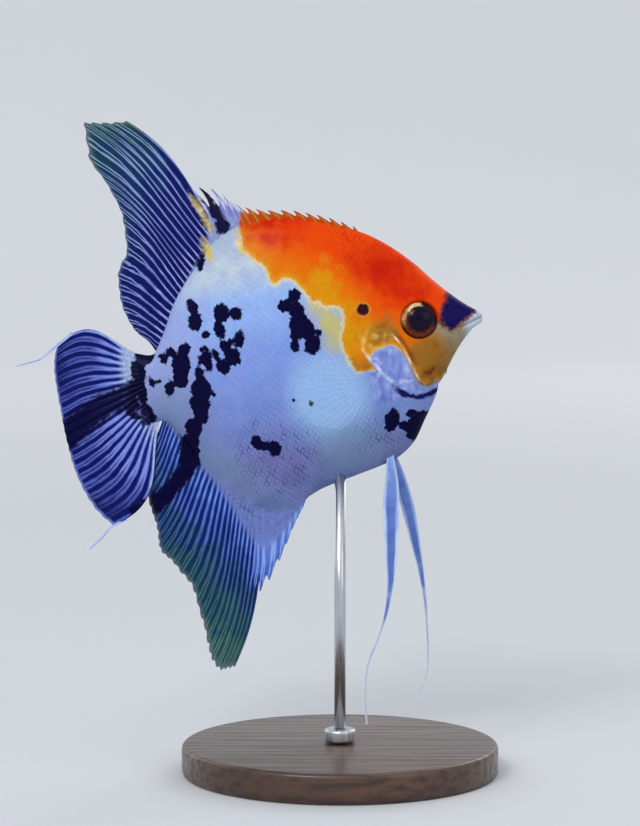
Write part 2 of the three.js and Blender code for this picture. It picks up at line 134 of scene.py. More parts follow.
SNOUT_BLOTCH = flowing([
    (38.8, 10.5), (43.8, 3.4), (41.6, 1.9), (39.6, 0.9), (37.7, -0.5), (35.6, -0.3), (34.2, 2.2),
    (35, 5), (36.6, 7.2), (38.8, 10.5),
])
# The dark wedge between the lobes of the tail, and the dark band down the anal fin.
TAIL_WEDGE = [
    (-46, 4), (-51.5, 2.6), (-59.5, 1.3), (-72, -4.6), (-70, -12.6), (-61.2, -7), (-55.6, -4.4),
    (-51, -3.4), (-46, -4),
]
ANAL_BAND = [
    (-33.4, -13), (-34.8, -18), (-35.6, -21.4), (-40, -25.6), (-44.5, -29), (-48.9, -32),
    (-56, -36.6), (-56, -29.6), (-49.8, -27.2), (-45.7, -25.7), (-41, -21), (-39.6, -16.2),
    (-38.8, -13),
]
# Black blotches as (x, z, half length, half height, tilt in degrees).
BLACK_SHARED = [
    (-43.9, 8.8, 2.5, 1.9, 0), (-46.3, 5.3, 1.9, 3.2, 0), (-47.6, 0.2, 2.4, 3.7, 0),
    (-48.7, -4.4, 2.9, 2.4, 0), (-46.6, -5.4, 1.7, 2.5, 12), (-46.2, -7.6, 2, 1, 15),
    (-24.2, 30.1, 0.9, 2.2, -25),
    (-16.7, 38.2, 1.8, 2, -10), (-17.7, 42, 1.3, 2.6, 20), (-19.3, 46.4, 1.2, 3.2, 20),
    (-20.6, 49.6, 1, 1.8, 20),
    (-37.2, -18.2, 2.2, 2, 20),
    (21.8, -24, 2.3, 3.6, -25), (24.8, -21.6, 2.2, 1.4, -20),
]
BLACK_RIGHT = [
    (-28.7, 19, 1.3, 2.2, 8), (-28.8, 15.3, 1.7, 2.4, -8), (-21.5, 15.9, 2, 2.5, 0),
    (-23, 12, 1.3, 2.4, 0), (-17.9, 15, 1.6, 1.6, 0), (-26.7, 11.4, 1.1, 0.8, 0),
    (-18.4, 8.3, 1.2, 2.2, -15), (-20.7, 8.2, 0.8, 0.8, 0), (-22.4, 7, 1.1, 2.1, 15),
    (-21, 4.2, 1.9, 2.2, 20), (-24, 2.2, 1.6, 1.8, 0), (-25, 4.9, 0.6, 2.1, 10),
    (-28.2, 5.5, 2, 1.5, 20), (-27.8, 3.6, 1, 1.6, 0), (-28, 7.9, 0.9, 0.6, 0),
    (-34.8, 4.9, 2.3, 3.4, -10), (-35.6, 1.3, 1.9, 2.2, 0), (-33, 8.7, 1.5, 1.5, 0),
    (-36.9, 8.7, 1.3, 1.2, 0), (-39, 7.4, 1, 1.5, 25), (-39, -0.4, 1.1, 2.1, -25),
    (-43.4, 1.9, 0.6, 1.3, 0), (-42, 1.8, 0.8, 0.5, 0), (-30.5, 0.9, 1.1, 2.4, 0),
    (-30.9, -2.5, 2.7, 2.8, 0), (-32, -6, 2.5, 2.9, 0), (-32.5, -9.4, 1.8, 2, 0),
    (-28, -4.3, 0.6, 0.5, 0), (-35, -11.9, 2.1, 2.5, 0), (-36.6, -15.2, 2.2, 2.2, 0),
    (-19.5, -19.2, 1.4, 2.1, 20), (-15.4, -21.5, 1.8, 2.1, 0), (-17.6, -20.5, 1.2, 1, 0),
    (-1.9, 16.6, 1.6, 1.8, 0), (-5, 14.5, 1.6, 1.5, 0), (-2.2, 12.6, 2, 2.2, 0),
    (-2.2, 8.6, 2.6, 3.3, -10), (-0.2, 6.8, 1.5, 2.4, -10), (-4.3, 5.9, 0.8, 1.7, 0),
    (0.1, 3.2, 2, 2.6, -20), (-4.6, 3.7, 1.1, 1.3, 0),
    (2.3, 6, 0.8, 0.7, 0), (-3.6, -11.9, 0.5, 0.8, 0), (-7.8, -9.9, 0.35, 0.35, 0),
    (16.2, -20.7, 1.9, 2.8, -25), (18.9, -22.8, 1.3, 1.1, 0), (21.4, -20, 1.2, 0.9, 0),
]
BLACK_LEFT = [
    (-27.4, 18.6, 1.1, 2.3, 14), (-26.2, 15.4, 1.5, 1.4, 0), (-24.1, 13.6, 1.1, 2.2, -20),
    (-19.8, 18.4, 0.9, 1.9, 10), (-18.7, 16.2, 1.2, 0.8, 0), (-21.6, 10.2, 1, 2.1, -10),
    (-19.9, 8.8, 1.2, 1.2, 0), (-23.6, 6.2, 0.9, 2.4, 15), (-22.2, 4.4, 1.3, 0.8, -30),
    (-33.2, 11.4, 1.1, 1.8, 0), (-34.8, 9.8, 1.3, 1, 0), (-35.4, 6.2, 1.6, 2.7, -14),
    (-37.2, 4.4, 1.4, 1.6, 0), (-38.6, 1.4, 0.8, 2.2, -20), (-31.8, 3, 1.3, 2.3, 10),
    (-30.6, -0.4, 1.4, 2.4, -10), (-31.4, -3.8, 2.2, 2.1, 0), (-29.4, -5.4, 1.1, 0.9, 30),
    (-33, -7.8, 1.7, 2.6, 12), (-34.9, -11, 1.9, 1.8, 0), (-36.4, -14.8, 1.9, 2.8, 20),
    (-25.4, -2, 0.5, 1.1, 20), (-15.4, -15.4, 1.3, 2, 24), (-12.6, -17.4, 2, 1.2, -12),
    (-6.8, 16.4, 1.2, 1.6, 0), (-4.6, 13.8, 1.7, 1.5, 0), (-3, 10.8, 1.2, 2.6, -12),
    (-4.9, 7.4, 0.8, 1.9, 12), (1.6, 6.4, 0.9, 1.9, -14), (4.4, -9.6, 0.5, 0.7, 0),
    (-12.6, 2.6, 0.8, 1.3, 30), (18.8, -21.2, 1.3, 2.4, -20), (16.4, -22.4, 1.4, 1.1, 0),
    (13.8, -17.4, 1.1, 0.8, 20),
]
# Soft patches, as (x, z, half length, half height, tilt).
PATCHES = {
    "red": [
        (22.5, 17.5, 8, 4.6, -42), (28, 10.8, 4.4, 3.2, -20), (-4, 37, 8, 3, 3), (-6, 33.4, 4, 1.6, -30),
    ],
    "cheek": [
        (30, -6, 6.6, 7, 0), (19, 2.8, 4.4, 3.2, 0), (35.6, -3.2, 5, 4.2, -35),
        (36, -8.6, 8, 4.2, 50), (29, -13, 4, 2, 10), (12, -4.6, 1.6, 0.6, 0),
    ],
    "gold": [(10, 5, 3.6, 7, 0), (14, 3, 4.4, 4, 0), (6, 17, 3.8, 5.6, -20)],
    "pale": [
        (43.8, 0.2, 4.6, 2.6, 25), (39.4, -3.4, 5.4, 2.8, -42), (40, -0.8, 3, 2, -20),
        (34, -0.6, 2.4, 1.3, -30),
    ],
    "worms": [(16.6, 0.6, 3.6, 2, 10), (13.9, -1, 1.2, 3, 12)],
    # painted glints: white highlights of light on the lower gill cover
    "painted_glints": [
        (22.6, -8.8, 0.7, 1.2, 12), (21.6, -11.3, 1.8, 0.5, -8), (15.6, -4.2, 0.5, 1.3, 40),
        (13.7, -6.9, 0.5, 0.4, 0), (15.5, -7.8, 0.6, 0.8, 25), (17.6, -10, 1, 0.4, -45),
    ],
    "chin": [(28.6, -10.2, 1.4, 0.8, 0)],
    # painted highlight: the lighter oval low on the flank where light falls
    "painted_highlight": [(1.5, -11, 10, 11.5, 0)],
    "dusk": [(-16, -25, 11, 8, -15), (8, -28, 9, 4, 0)],
    "green": [(5, -25.5, 9, 6.5, 0), (-40.5, -5.4, 3, 4.4, 0), (-27, -25, 9, 2.5, -45)],
    "specks": [(-47.8, -2.2, 0.3, 0.6, 20), (-48.6, -5, 0.5, 0.7, 0), (-47, -6.6, 0.5, 0.5, 0)],
    "edged": [(-15, -24, 11, 11, -10), (12, -24, 6, 4.5, -30), (22, 25, 12, 8, -35)],
    "cream": [(6.2, 6.4, 3.6, 6.6, 8), (3.4, 12, 1.8, 3, 30)],
    "spot": [(14.7, 9.3, 1.6, 1.65, 0)],
    "yellow": [
        (14.7, 9.3, 1.8, 1.8, 0), (-13.6, 33, 0.6, 2.2, 8), (-21.8, 32.6, 1.2, 3, 10),
        (-20.4, 39.4, 0.8, 2.4, 15), (-21.9, 44.4, 0.8, 3, 22),
    ],
}


# ---------- curves and distances ----------
def through(points):
    """A smooth function through points in rising x that doesn't overshoot between them."""
    xs, ys = np.array(points, float).T
    steps = np.diff(ys) / np.diff(xs)
    product = steps[:-1] * steps[1:]
    total = np.where(product > 0, steps[:-1] + steps[1:], 1)
    inner = np.where(product > 0, 2 * product / total, 0)
    slopes = np.concatenate([steps[:1], inner, steps[-1:]])

    def value(x):
        x = np.clip(x, xs[0], xs[-1])
        i = np.clip(np.searchsorted(xs, x) - 1, 0, len(xs) - 2)
        span = xs[i + 1] - xs[i]
        t = (x - xs[i]) / span
        straight = ys[i] + (ys[i + 1] - ys[i]) * t * t * (3 - 2 * t)
        return straight + span * t * (1 - t) * ((1 - t) * slopes[i] - t * slopes[i + 1])

    return value


back, belly = through(BACK), through(BELLY)
half_width, keel, sheath = through(HALF_WIDTH), through(KEEL), through(SHEATH)


def smooth(value, low, high):
    """0 below low, 1 above high, and an S-curve between."""
    t = np.clip((value - low) / (high - low), 0, 1)
    return t * t * (3 - 2 * t)


def ridge(distance, width):
    return np.exp(-((distance / width) ** 2))


def beside(x, z, line):
    """Distance to a line, and 1 or -1 for its left or right side as it runs."""
    nearest = np.full(np.shape(x), 1e9)
    hand = np.ones(np.shape(x))
    for (x0, z0), (x1, z1) in zip(line[:-1], line[1:]):
        dx, dz = x1 - x0, z1 - z0
        t = np.clip(((x - x0) * dx + (z - z0) * dz) / (dx * dx + dz * dz), 0, 1)
        away = np.hypot(x - x0 - t * dx, z - z0 - t * dz)
        closer = away < nearest
        nearest = np.where(closer, away, nearest)
        hand = np.where(closer, np.sign(dx * (z - z0) - dz * (x - x0)), hand)
    return nearest, hand


def behind(x, z, line):
    """Distance to a line on the head that runs downwards, negative in front of it."""
    away, hand = beside(x, z, line)
    return away * -hand


def outside(x, z, outline):
    """Distance to a closed outline, negative inside it."""
    distance, _ = beside(x, z, outline + outline[:1])
    inside = np.zeros(np.shape(x), bool)
    for (x0, z0), (x1, z1) in zip(outline, outline[1:] + outline[:1]):
        if z0 == z1:
            continue
        crosses = (z0 > z) != (z1 > z)
        inside ^= crosses & (x < x0 + (z - z0) * (x1 - x0) / (z1 - z0))
    return np.where(inside, -distance, distance)


def from_patches(x, z, patches):
    """Rough distance to the nearest of several tilted ellipses that run together, negative inside."""
    shares = np.zeros(np.shape(x))
    for cx, cz, long, high, tilt in patches:
        c, s = math.cos(math.radians(tilt)), math.sin(math.radians(tilt))
        u, v = (x - cx) * c + (z - cz) * s, (z - cz) * c - (x - cx) * s
        distance = (np.hypot(u / long, v / high) - 1) * min(long, high)
        shares += np.exp(np.clip(-distance / MERGING, -60, 60))
    return -MERGING * np.log(shares + 1e-20)


# ---------- the two frames ----------
def eye_middle():
    corners = [corner for node in ("eye_left", "eye_right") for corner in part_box(node)]
    return sum(corners, Vector()) / len(corners)


COS, SIN = math.cos(PITCH), math.sin(PITCH)
eye_place = eye_middle()
FISH_X = eye_place.x / MM - (EYE_X * COS - EYE_Z * SIN)
FISH_Z = eye_place.z / MM - (EYE_X * SIN + EYE_Z * COS)


def level_to_row(points):
    """Points of the level fish, in millimetres, as metres in the model's frame."""
    x, y, z = np.moveaxis(np.asarray(points, float), -1, 0)
    row = (x * COS - z * SIN + FISH_X, y, x * SIN + z * COS + FISH_Z)
    return np.stack(row, -1) * MM


# ---------- the body's surface ----------
STATIONS = np.concatenate([np.linspace(SNOUT, 12, 140), np.linspace(12, STEM_END, 108)[1:]])
FRACTIONS = np.linspace(-1, 1, 161)


def ring_point(x, angle):
    """A point of one side's outline at a station, y always positive; angle rises from belly to back."""
    top, bottom = back(x), belly(x)
    below = np.where(angle < 0, sheath(x), 0)
    y = half_width(x) * np.abs(np.cos(angle)) ** (keel(x) + THINNING * below)
    return y, (top + bottom) / 2 + ((top - bottom) / 2 + below) * np.sin(angle)


def even_angles():
    """For each station, the angles that divide one side's outline into equal lengths."""
    dense = np.linspace(-math.pi / 2, math.pi / 2, 721)
    angles, lengths = [], []
    for x in STATIONS:
        y, z = ring_point(x, dense)
        run = np.concatenate([[0], np.cumsum(np.hypot(np.diff(y), np.diff(z)))])
        angles.append(np.interp((FRACTIONS + 1) / 2, run / run[-1], dense))
        lengths.append(run[-1])
    return np.array(angles), np.array(lengths)


ANGLES, LENGTHS = even_angles()


def side_length(x):
    return np.interp(-x, -STATIONS, LENGTHS)


def angle_at(x, fraction):
    """The angle at a fraction, from -1 at the belly's edge to 1 at the back's."""
    i = np.clip(np.interp(-x, -STATIONS, np.arange(len(STATIONS))), 0, len(STATIONS) - 1.001)
    j = np.clip((fraction + 1) / 2 * (len(FRACTIONS) - 1), 0, len(FRACTIONS) - 1.001)
    i0, j0 = i.astype(int), j.astype(int)
    u, v = i - i0, j - j0
    near = ANGLES[i0, j0] * (1 - v) + ANGLES[i0, j0 + 1] * v
    far = ANGLES[i0 + 1, j0] * (1 - v) + ANGLES[i0 + 1, j0 + 1] * v
    return near * (1 - u) + far * u


def flank(x, fraction, side):
    """Point and outward normal of the body's surface."""
    def place(px, pf):
        y, z = ring_point(px, angle_at(px, pf))
        return np.stack([px, side * y, z], -1)

    ahead = place(np.minimum(x + 0.3, SNOUT), fraction) - place(np.maximum(x - 0.3, STEM_END), fraction)
    upward = place(x, np.minimum(fraction + 0.01, 1)) - place(x, np.maximum(fraction - 0.01, -1))
    normal = np.cross(ahead, upward) * -side
    normal /= np.linalg.norm(normal, axis=-1, keepdims=True) + 1e-9
    return place(x, fraction), normal


def flank_depth(x, z):
    """Half the thickness of the body at a place in its side view."""
    middle = (back(x) + belly(x)) / 2
    below = np.where(z < middle, sheath(x), 0)
    level = np.clip(np.abs(z - middle) / ((back(x) - belly(x)) / 2 + below), 0, 1)
    return half_width(x) * (1 - level * level) ** ((keel(x) + THINNING * below) / 2)


# ---------- relief of the head ----------
def relief(x, z):
    """How far the skin stands out beyond the smooth body."""
    from_eye = np.hypot(x - EYE_X, z - EYE_Z)
    out = -SOCKET_DEPTH * (1 - smooth(from_eye, SOCKET_INNER, SOCKET_OUTER))
    out += 0.12 * ridge(from_eye - 5.5, 0.5)
    mouth, _ = beside(x, z, MOUTH)
    lips = 0.34 * ridge(mouth - 0.95, 0.6) - 0.5 * ridge(mouth, 0.22) - 0.18 * ridge(mouth - 2, 0.4)
    out += smooth(x, 38.6, 41) * lips
    for line, depth, width in ((LIP_FOLD, 0.28, 0.3), (UNDER_EYE, 0.14, 0.35)):
        out -= depth * ridge(beside(x, z, line)[0], width)
    from_nostril = np.hypot(x - NOSTRIL[0], z - NOSTRIL[1])
    out += 0.14 * ridge(from_nostril - 0.85, 0.3) - 0.55 * ridge(from_nostril, 0.42)
    cheek = behind(x, z, CHEEK_EDGE)
    step = 0.26 * ridge(cheek + 0.5, 0.7)
    step -= 0.28 * smooth(cheek, -0.1, 0.35) * (1 - smooth(cheek, 0.6, 4))
    out += step * (1 - smooth(z, -2.5, 1))
    gill = behind(x, z, GILL_MARGIN)
    step = 0.17 * ridge(gill + 0.7, 0.9) - 0.34 * ridge(gill - 0.3, 0.4)
    out += step * (1 - smooth(z, 3, 7.5))
    out += 0.25 * ridge(np.hypot((x - 30) / 4.5, (z + 6) / 4.5), 1)
    return out


# ---------- meshes ----------
def new_mesh(name, points, faces):
    """A smooth mesh of points in metres, in the model's frame."""
    mesh = bpy.data.meshes.new(name)
    faces = np.asarray(faces, np.int32)
    count, corners = faces.shape
    mesh.vertices.add(len(points))
    mesh.vertices.foreach_set("co", points.astype(np.float32).ravel())
    mesh.loops.add(faces.size)
    mesh.loops.foreach_set("vertex_index", faces.ravel())
    mesh.polygons.add(count)
    mesh.polygons.foreach_set("loop_start", np.arange(0, faces.size, corners, dtype=np.int32))
    mesh.polygons.foreach_set("loop_total", np.full(count, corners, np.int32))
    mesh.polygons.foreach_set("use_smooth", np.ones(count, bool))
    return mesh


def new_object(mesh):
    """The scene's object for a finished mesh, under the mesh's name."""
    mesh.update()
    mesh.validate()
    thing = bpy.data.objects.new(mesh.name, mesh)
    bpy.context.scene.collection.objects.link(thing)
    return thing


def mesh_piece(name, points, faces, attributes, patches=None, rims=None):
    """A mesh of level points, riding on the model. attributes maps names to one number a point,
    patches holds each point's place on a texture map, and rims is true for the
    points whose joining edges are sharp."""
    mesh = new_mesh(name, level_to_row(points).reshape(-1, 3), faces)
    for key, values in attributes.items():
        layer = mesh.attributes.new(key, "FLOAT", "POINT")
        layer.data.foreach_set("value", np.asarray(values, np.float32).ravel())
    if patches is not None:
        layer = mesh.uv_layers.new(name="OFBake")
        layer.data.foreach_set("uv", patches.astype(np.float32)[faces.ravel()].ravel())
    piece = new_object(mesh)
    if rims is not None:
        ends = np.empty(2 * len(mesh.edges), np.int32)
        mesh.edges.foreach_get("vertices", ends)
        layer = mesh.attributes.new("sharp_edge", "BOOLEAN", "EDGE")
        layer.data.foreach_set("value", rims[ends.reshape(-1, 2)].all(1))
    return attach(piece, "root")


def markings(x, z, side):
    """Distances to the markings, and other numbers that the flesh's materials read."""
    wave = 0 if side == RIGHT else 1.2 * smooth(flank_depth(x, z), 0.5, 3)
    blotches = BLACK_SHARED + (BLACK_RIGHT if side == RIGHT else BLACK_LEFT)
    anal_band = outside(x, z, ANAL_BAND)
    below_body = 3 * smooth(z - belly(x), -0.5, 1.5)
    return {name: from_patches(x, z, patches) for name, patches in PATCHES.items()} | {
        "level": z,
        "forward": x,
        "black": np.minimum(from_patches(x, z, blotches), below_body + anal_band),
        "bands": np.minimum(outside(x, z, TAIL_WEDGE), anal_band),
        "cap": outside(x, z, CAP) + wave * np.sin(0.4 * x + 0.3 * z),
        "snout": outside(x, z, SNOUT_BLOTCH),
        "gill": behind(x, z, GILL_MARGIN),
        "cheek_edge": behind(x, z, CHEEK_EDGE),
    }


def grid_faces(rows, columns, wrap=False):
    """Quads of a grid of points in rows, closed round its columns where wrap is true."""
    r = np.arange(rows - 1)[:, None]
    c = np.arange(columns if wrap else columns - 1)[None, :]
    here, side = r * columns + c, r * columns + (c + 1) % columns
    return np.stack([here, side, side + columns, here + columns], -1).reshape(-1, 4)


def split(quads):
    """Two triangles for each quad."""
    return np.concatenate([quads[:, [0, 1, 2]], quads[:, [0, 2, 3]]])


def turned(profile, sides):
    """Rings of points about the z axis, one for each (radius, height) of a profile."""
    radius, height = np.array(profile, float).T[:, :, None]
    angle = np.linspace(0, 2 * math.pi, sides, endpoint=False)
    return np.stack([radius * np.cos(angle), radius * np.sin(angle), height + 0 * angle], -1)


# ---------- materials ----------
def rgb(red, green, blue):
    """A screen colour, 0 to 255, as the linear colour that a shader takes."""
    screen = np.array([red, green, blue]) / 255
    linear = np.where(screen <= 0.04045, screen / 12.92, ((screen + 0.055) / 1.055) ** 2.4)
    return (*linear, 1.0)


class Value:
    """What a material works out at each point. Sums and products of it add nodes to the material."""

    def __init__(self, finish, socket):
        self.finish, self.socket = finish, socket

    def __add__(self, other):
        return self.finish.math("ADD", self, other)

    def __sub__(self, other):
        return self.finish.math("SUBTRACT", self, other)

    def __mul__(self, other):
        return self.finish.math("MULTIPLY", self, other)

    def __truediv__(self, other):
        return self.finish.math("DIVIDE", self, other)

    def __abs__(self):
        return self.finish.math("ABSOLUTE", self)

    def between(self, low, high, at_low=0.0, at_high=1.0):
        """at_low before low, at_high past high, and an S-curve between."""
        inputs = {0: self, 1: low, 2: high, 3: at_low, 4: at_high}
        return self.finish.add("ShaderNodeMapRange", inputs, interpolation_type="SMOOTHSTEP")

    def ramp(self, stops):
        """Screen colours at rising values, blended smoothly."""
        low, high = stops[0][0], stops[-1][0]
        share = self.finish.add("ShaderNodeMapRange", {0: self, 1: low, 2: high})
        node = self.finish.nodes.new("ShaderNodeValToRGB")
        node.color_ramp.interpolation = "EASE"
        while len(node.color_ramp.elements) < len(stops):
            node.color_ramp.elements.new(0.5)
        for element, (at, colour) in zip(node.color_ramp.elements, stops):
            element.position = (at - low) / (high - low)
            element.color = rgb(*colour)
        self.finish.set(node.inputs[0], share)
        return Value(self.finish, node.outputs[0])


class Finish:
    """A node material under construction. Colours are given as they look on a screen, 0 to 255."""

    def __init__(self, name, **settings):
        self.material = bpy.data.materials.new(name)
        self.material.use_nodes = True
        self.nodes = self.material.node_tree.nodes
        self.shader = self.nodes["Principled BSDF"].inputs
        for key, value in settings.items():
            self.shader[key.replace("_", " ").title().replace("Ior", "IOR")].default_value = value
        self.place = Value(self, self.nodes.new("ShaderNodeTexCoord").outputs["Object"])
        self.millimetres = self.add(
            "ShaderNodeVectorMath", {0: self.place, "Scale": 1 / MM}, operation="SCALE",
        )
        self.colour = None

    def set(self, socket, value):
        if isinstance(value, Value):
            self.material.node_tree.links.new(value.socket, socket)
        else:
            socket.default_value = value

    def add(self, kind, inputs, output=0, **properties):
        node = self.nodes.new(kind)
        for key, value in properties.items():
            setattr(node, key, value)
        for key, value in inputs.items():
            self.set(node.inputs[key], value)
        return Value(self, node.outputs[output])

    def attribute(self, name):
        return self.add("ShaderNodeAttribute", {}, output=2, attribute_name=name)

    def math(self, operation, a, b=0.0):
        return self.add("ShaderNodeMath", {0: a, 1: b}, operation=operation)

    def noise(self, scale, detail=2.0, low=0.0, high=1.0, stretch=None):
        """Noise with scale waves a millimetre, spread from low to high."""
        place = self.millimetres
        if stretch:
            place = self.add("ShaderNodeVectorMath", {0: place, 1: stretch}, operation="MULTIPLY")
        value = self.add("ShaderNodeTexNoise", {"Vector": place, "Scale": scale, "Detail": detail})
        return self.add("ShaderNodeMapRange", {0: value, 1: 0.3, 2: 0.7, 3: low, 4: high})

    def mix(self, amount, a, b, blend="MIX"):
        a, b = (rgb(*colour) if isinstance(colour, tuple) else colour for colour in (a, b))
        inputs = {0: amount, 6: a, 7: b}
        return self.add("ShaderNodeMix", inputs, output=2, data_type="RGBA", blend_type=blend)

    def lay(self, amount, colour, blend="MIX"):
        """Lays a share of a colour over what is there."""
        self.colour = self.mix(amount, self.colour, colour, blend)

    def patch(self, name, soft, wobble=0.0, reach=0.0):
        """1 inside a marking and 0 outside it, with an edge that is soft and wobbles by millimetres."""
        return (self.attribute(name) + wobble).between(reach - soft, reach + soft, 1, 0)

    def bump(self, height, distance, strength=1.0):
        inputs = {"Height": height, "Distance": distance * MM, "Strength": strength}
        self.set(self.shader["Normal"], self.add("ShaderNodeBump", inputs))

    def dress(self, piece, slot=None):
        self.set(self.shader["Base Color"], self.colour)
        piece.data.materials.clear()
        piece.data.materials.append(self.material)
        return piece if slot else piece


BLACK = (4, 2, 46)


class Flesh(Finish):
    """The living skin with its markings. scaled is true for the plates that lie over it."""

    def __init__(self, name, scaled):
        super().__init__(
            name, roughness=0.42, specular_ior_level=0.03, coat_weight=0.06, coat_roughness=0.08,
        )
        self.fine = self.noise(0.85, 3, -0.55, 0.55)
        self.broad = self.noise(0.3, 2, -1.6, 1.6)
        self.level, self.forward = self.attribute("level"), self.attribute("forward")
        self.cap_edge = self.attribute("cap") + (self.fine + self.broad * 0.3) * 0.5
        self.paint_flank()
        self.paint_cap()
        self.paint_gill_cover()
        self.paint_spots()
        if scaled:
            self.paint_plates()
            self.bump(self.attribute("edge"), 0.02, 0.2)
        else:
            self.bump(self.noise(2.4, 3), 0.05, 0.4)
        self.lay(self.patch("black", 0.16, self.fine * 0.42, 0.13), BLACK)

    def paint_flank(self):
        """Pearly blue, paler up the back and duller low down and towards the tail. The paler back is
        partly painted light from above, and a pale oval low on the flank is a painted highlight.
        """
        # Partly painted light: the ramp is paler up the back because light falls from above.
        self.colour = self.level.ramp([
            (-42, (104, 124, 182)), (-36, (92, 110, 160)), (-26, (102, 116, 166)),
            (-20, (110, 134, 192)), (-12, (112, 136, 202)), (2, (122, 150, 218)),
            (16, (142, 176, 230)), (27, (184, 198, 208)), (33, (162, 178, 196)),
        ])
        self.lay(self.noise(0.16, 3).between(0.25, 0.8, 0, 0.35), (142, 150, 214))
        rearward = self.level.ramp([(-14, (112, 126, 172)), (10, (148, 158, 206))])
        self.lay(self.forward.between(-24, -36, 0, 0.75), rearward)
        # A painted highlight: lighter where the light falls low on the flank.
        self.lay(self.patch("painted_highlight", 5), (150, 186, 230))
        self.lay(self.patch("dusk", 7, self.broad) * 0.5, (112, 106, 168))
        self.lay(self.patch("green", 4) * 0.6, (114, 142, 170))

    def paint_cap(self):
        """The orange cap with the face's browns on it, over a yellow patch and a cream edge; the cheek
        darkens towards the chin as painted shade.
        """
        flank, broad = self.colour, self.broad
        self.colour = self.cap_edge.ramp([
            (-12, (220, 66, 1)), (-8, (222, 84, 1)), (-4.5, (218, 102, 1)), (-1.8, (216, 114, 2)),
            (-0.5, (212, 136, 20)), (0.3, (214, 180, 98)),
        ])
        self.lay(self.patch("red", 4, broad), (192, 26, 2))
        self.lay(self.patch("gold", 2.5, broad) * 0.85, (210, 144, 8))
        # Painted shade: the cheek darkens towards the chin, under the head.
        cheek = self.level.ramp([(-12.5, (104, 82, 34)), (-8, (148, 100, 32)), (0, (156, 102, 34))])
        cheek = self.mix(self.forward.between(31, 37, 0, 0.8), cheek, (138, 124, 88))
        self.lay(self.patch("cheek", 2.2, broad), cheek)
        self.lay(self.patch("cheek", 2) * self.noise(0.4, 3, -0.5, 0.5), (126, 74, 20))
        self.lay(self.patch("chin", 0.7, self.fine), (104, 52, 14))
        self.lay(self.patch("pale", 1.8, broad * 0.4), (146, 136, 112))
        cap, self.colour = self.colour, flank
        self.lay(self.patch("cream", 2.8, broad * 0.5) * 0.9, (194, 184, 92))
        halo = self.cap_edge.between(1.5, 0.1, 0, 0.85) * self.forward.between(10, 12, 1, 0.15)
        self.lay(halo, self.mix(self.forward.between(-6, -13), (218, 210, 170), (216, 174, 84)))
        self.lay(self.cap_edge.between(-0.2, 0.7, 1, 0), cap)

    def paint_gill_cover(self):
        """Worm-like lines at its top, a blue window with painted glints, two bright rims, and the dark
        gap behind, a painted shadow in the gill opening.
        """
        level, forward = self.level, self.forward
        self.lay(self.noise(0.5, 4, -0.5, 1) * self.patch("worms", 1.4, self.fine), (208, 188, 96))
        window = self.cap_edge.between(0.2, 1.2) * forward.between(12, 13.5) * level.between(-17, -14.5)
        self.lay(window, (118, 136, 204))
        self.lay(window * self.noise(0.3, 4, -0.3, 0.7), (172, 188, 230))
        self.lay(window * self.noise(0.55, 3, -0.6, 0.8, stretch=(1.4, 1, 0.5)), (84, 106, 184))
        # Painted highlights: white glints of light over the window.
        painted_glints = self.patch("painted_glints", 0.6, self.fine * 0.6) * self.noise(0.5, 1, 0.2, 0.8)
        self.lay(painted_glints, (206, 218, 242))
        gill, cheek_edge = self.attribute("gill"), self.attribute("cheek_edge")
        uneven = self.noise(0.45, 3, -0.1, 1.1)
        below_nape = level.between(2.2, 0.2)
        rim = abs(cheek_edge + 0.3).between(0.45, 0.12, 0, 0.95) * level.between(-13, -9, 0.2, 1)
        self.lay(rim * below_nape * uneven, (240, 232, 202))
        shade = cheek_edge.between(-2.4, -1.2) * cheek_edge.between(-0.5, -0.9)
        self.lay(shade * level.between(-9, -5, 0, 0.7) * below_nape, (112, 50, 16))
        rim = gill.between(-1.4, -0.7) * gill.between(0.05, -0.3) * level.between(5, 1)
        edging = level.ramp([(-5, (206, 214, 238)), (-1, (224, 196, 124))])
        self.lay(rim * level.between(-10.5, -8, 0.1, 1) * uneven, edging)
        # Painted shadow: the dark gap where the gill opening lies in shade behind the cover.
        wavy = gill + self.fine * 0.7
        slit_shadow = wavy.between(-0.35, 0.1) * wavy.between(1.5, 0.8)
        self.lay(slit_shadow * forward.between(17, 20) * level.between(-7, -10), (12, 12, 84))

    def paint_spots(self):
        """Pale lips, the yellow flecks, the spot behind the eye, and the dark snout."""
        self.lay(self.forward.between(38.8, 41.5) * self.patch("pale", 1), (178, 190, 208))
        yellow = self.mix(self.forward.between(-5, 5), (204, 182, 104), (222, 164, 72))
        self.lay(self.patch("yellow", 0.5, self.fine * 0.5), yellow)
        self.lay(self.patch("spot", 0.35, self.fine * 0.4), (44, 10, 18))
        self.lay(self.patch("snout", 0.9, self.fine, 0.5), (86, 34, 50))
        self.lay(self.patch("snout", 0.7, self.fine, -0.3), (15, 10, 74))

    def paint_plates(self):
        """Each scale a little lighter or darker, and some with a dark rear edge."""
        tone = self.attribute("tone")
        grey = tone.between(0, 1, 0.965, 1.02)
        grey = self.add("ShaderNodeCombineColor", {0: grey, 1: grey, 2: grey})
        self.lay(1.0, grey, "MULTIPLY")
        edge = self.attribute("edge").between(0.6, 0.95)
        flecks = self.noise(0.5, 1, 0.1, 1.1) * tone.between(0.2, 0.85, 0.1, 0.95)
        shade = self.mix(self.cap_edge.between(-1, 1, 1, 0), (54, 58, 118), (164, 30, 3))
        self.lay(edge * flecks * self.patch("edged", 5, self.broad) + edge * 0.12, shade)


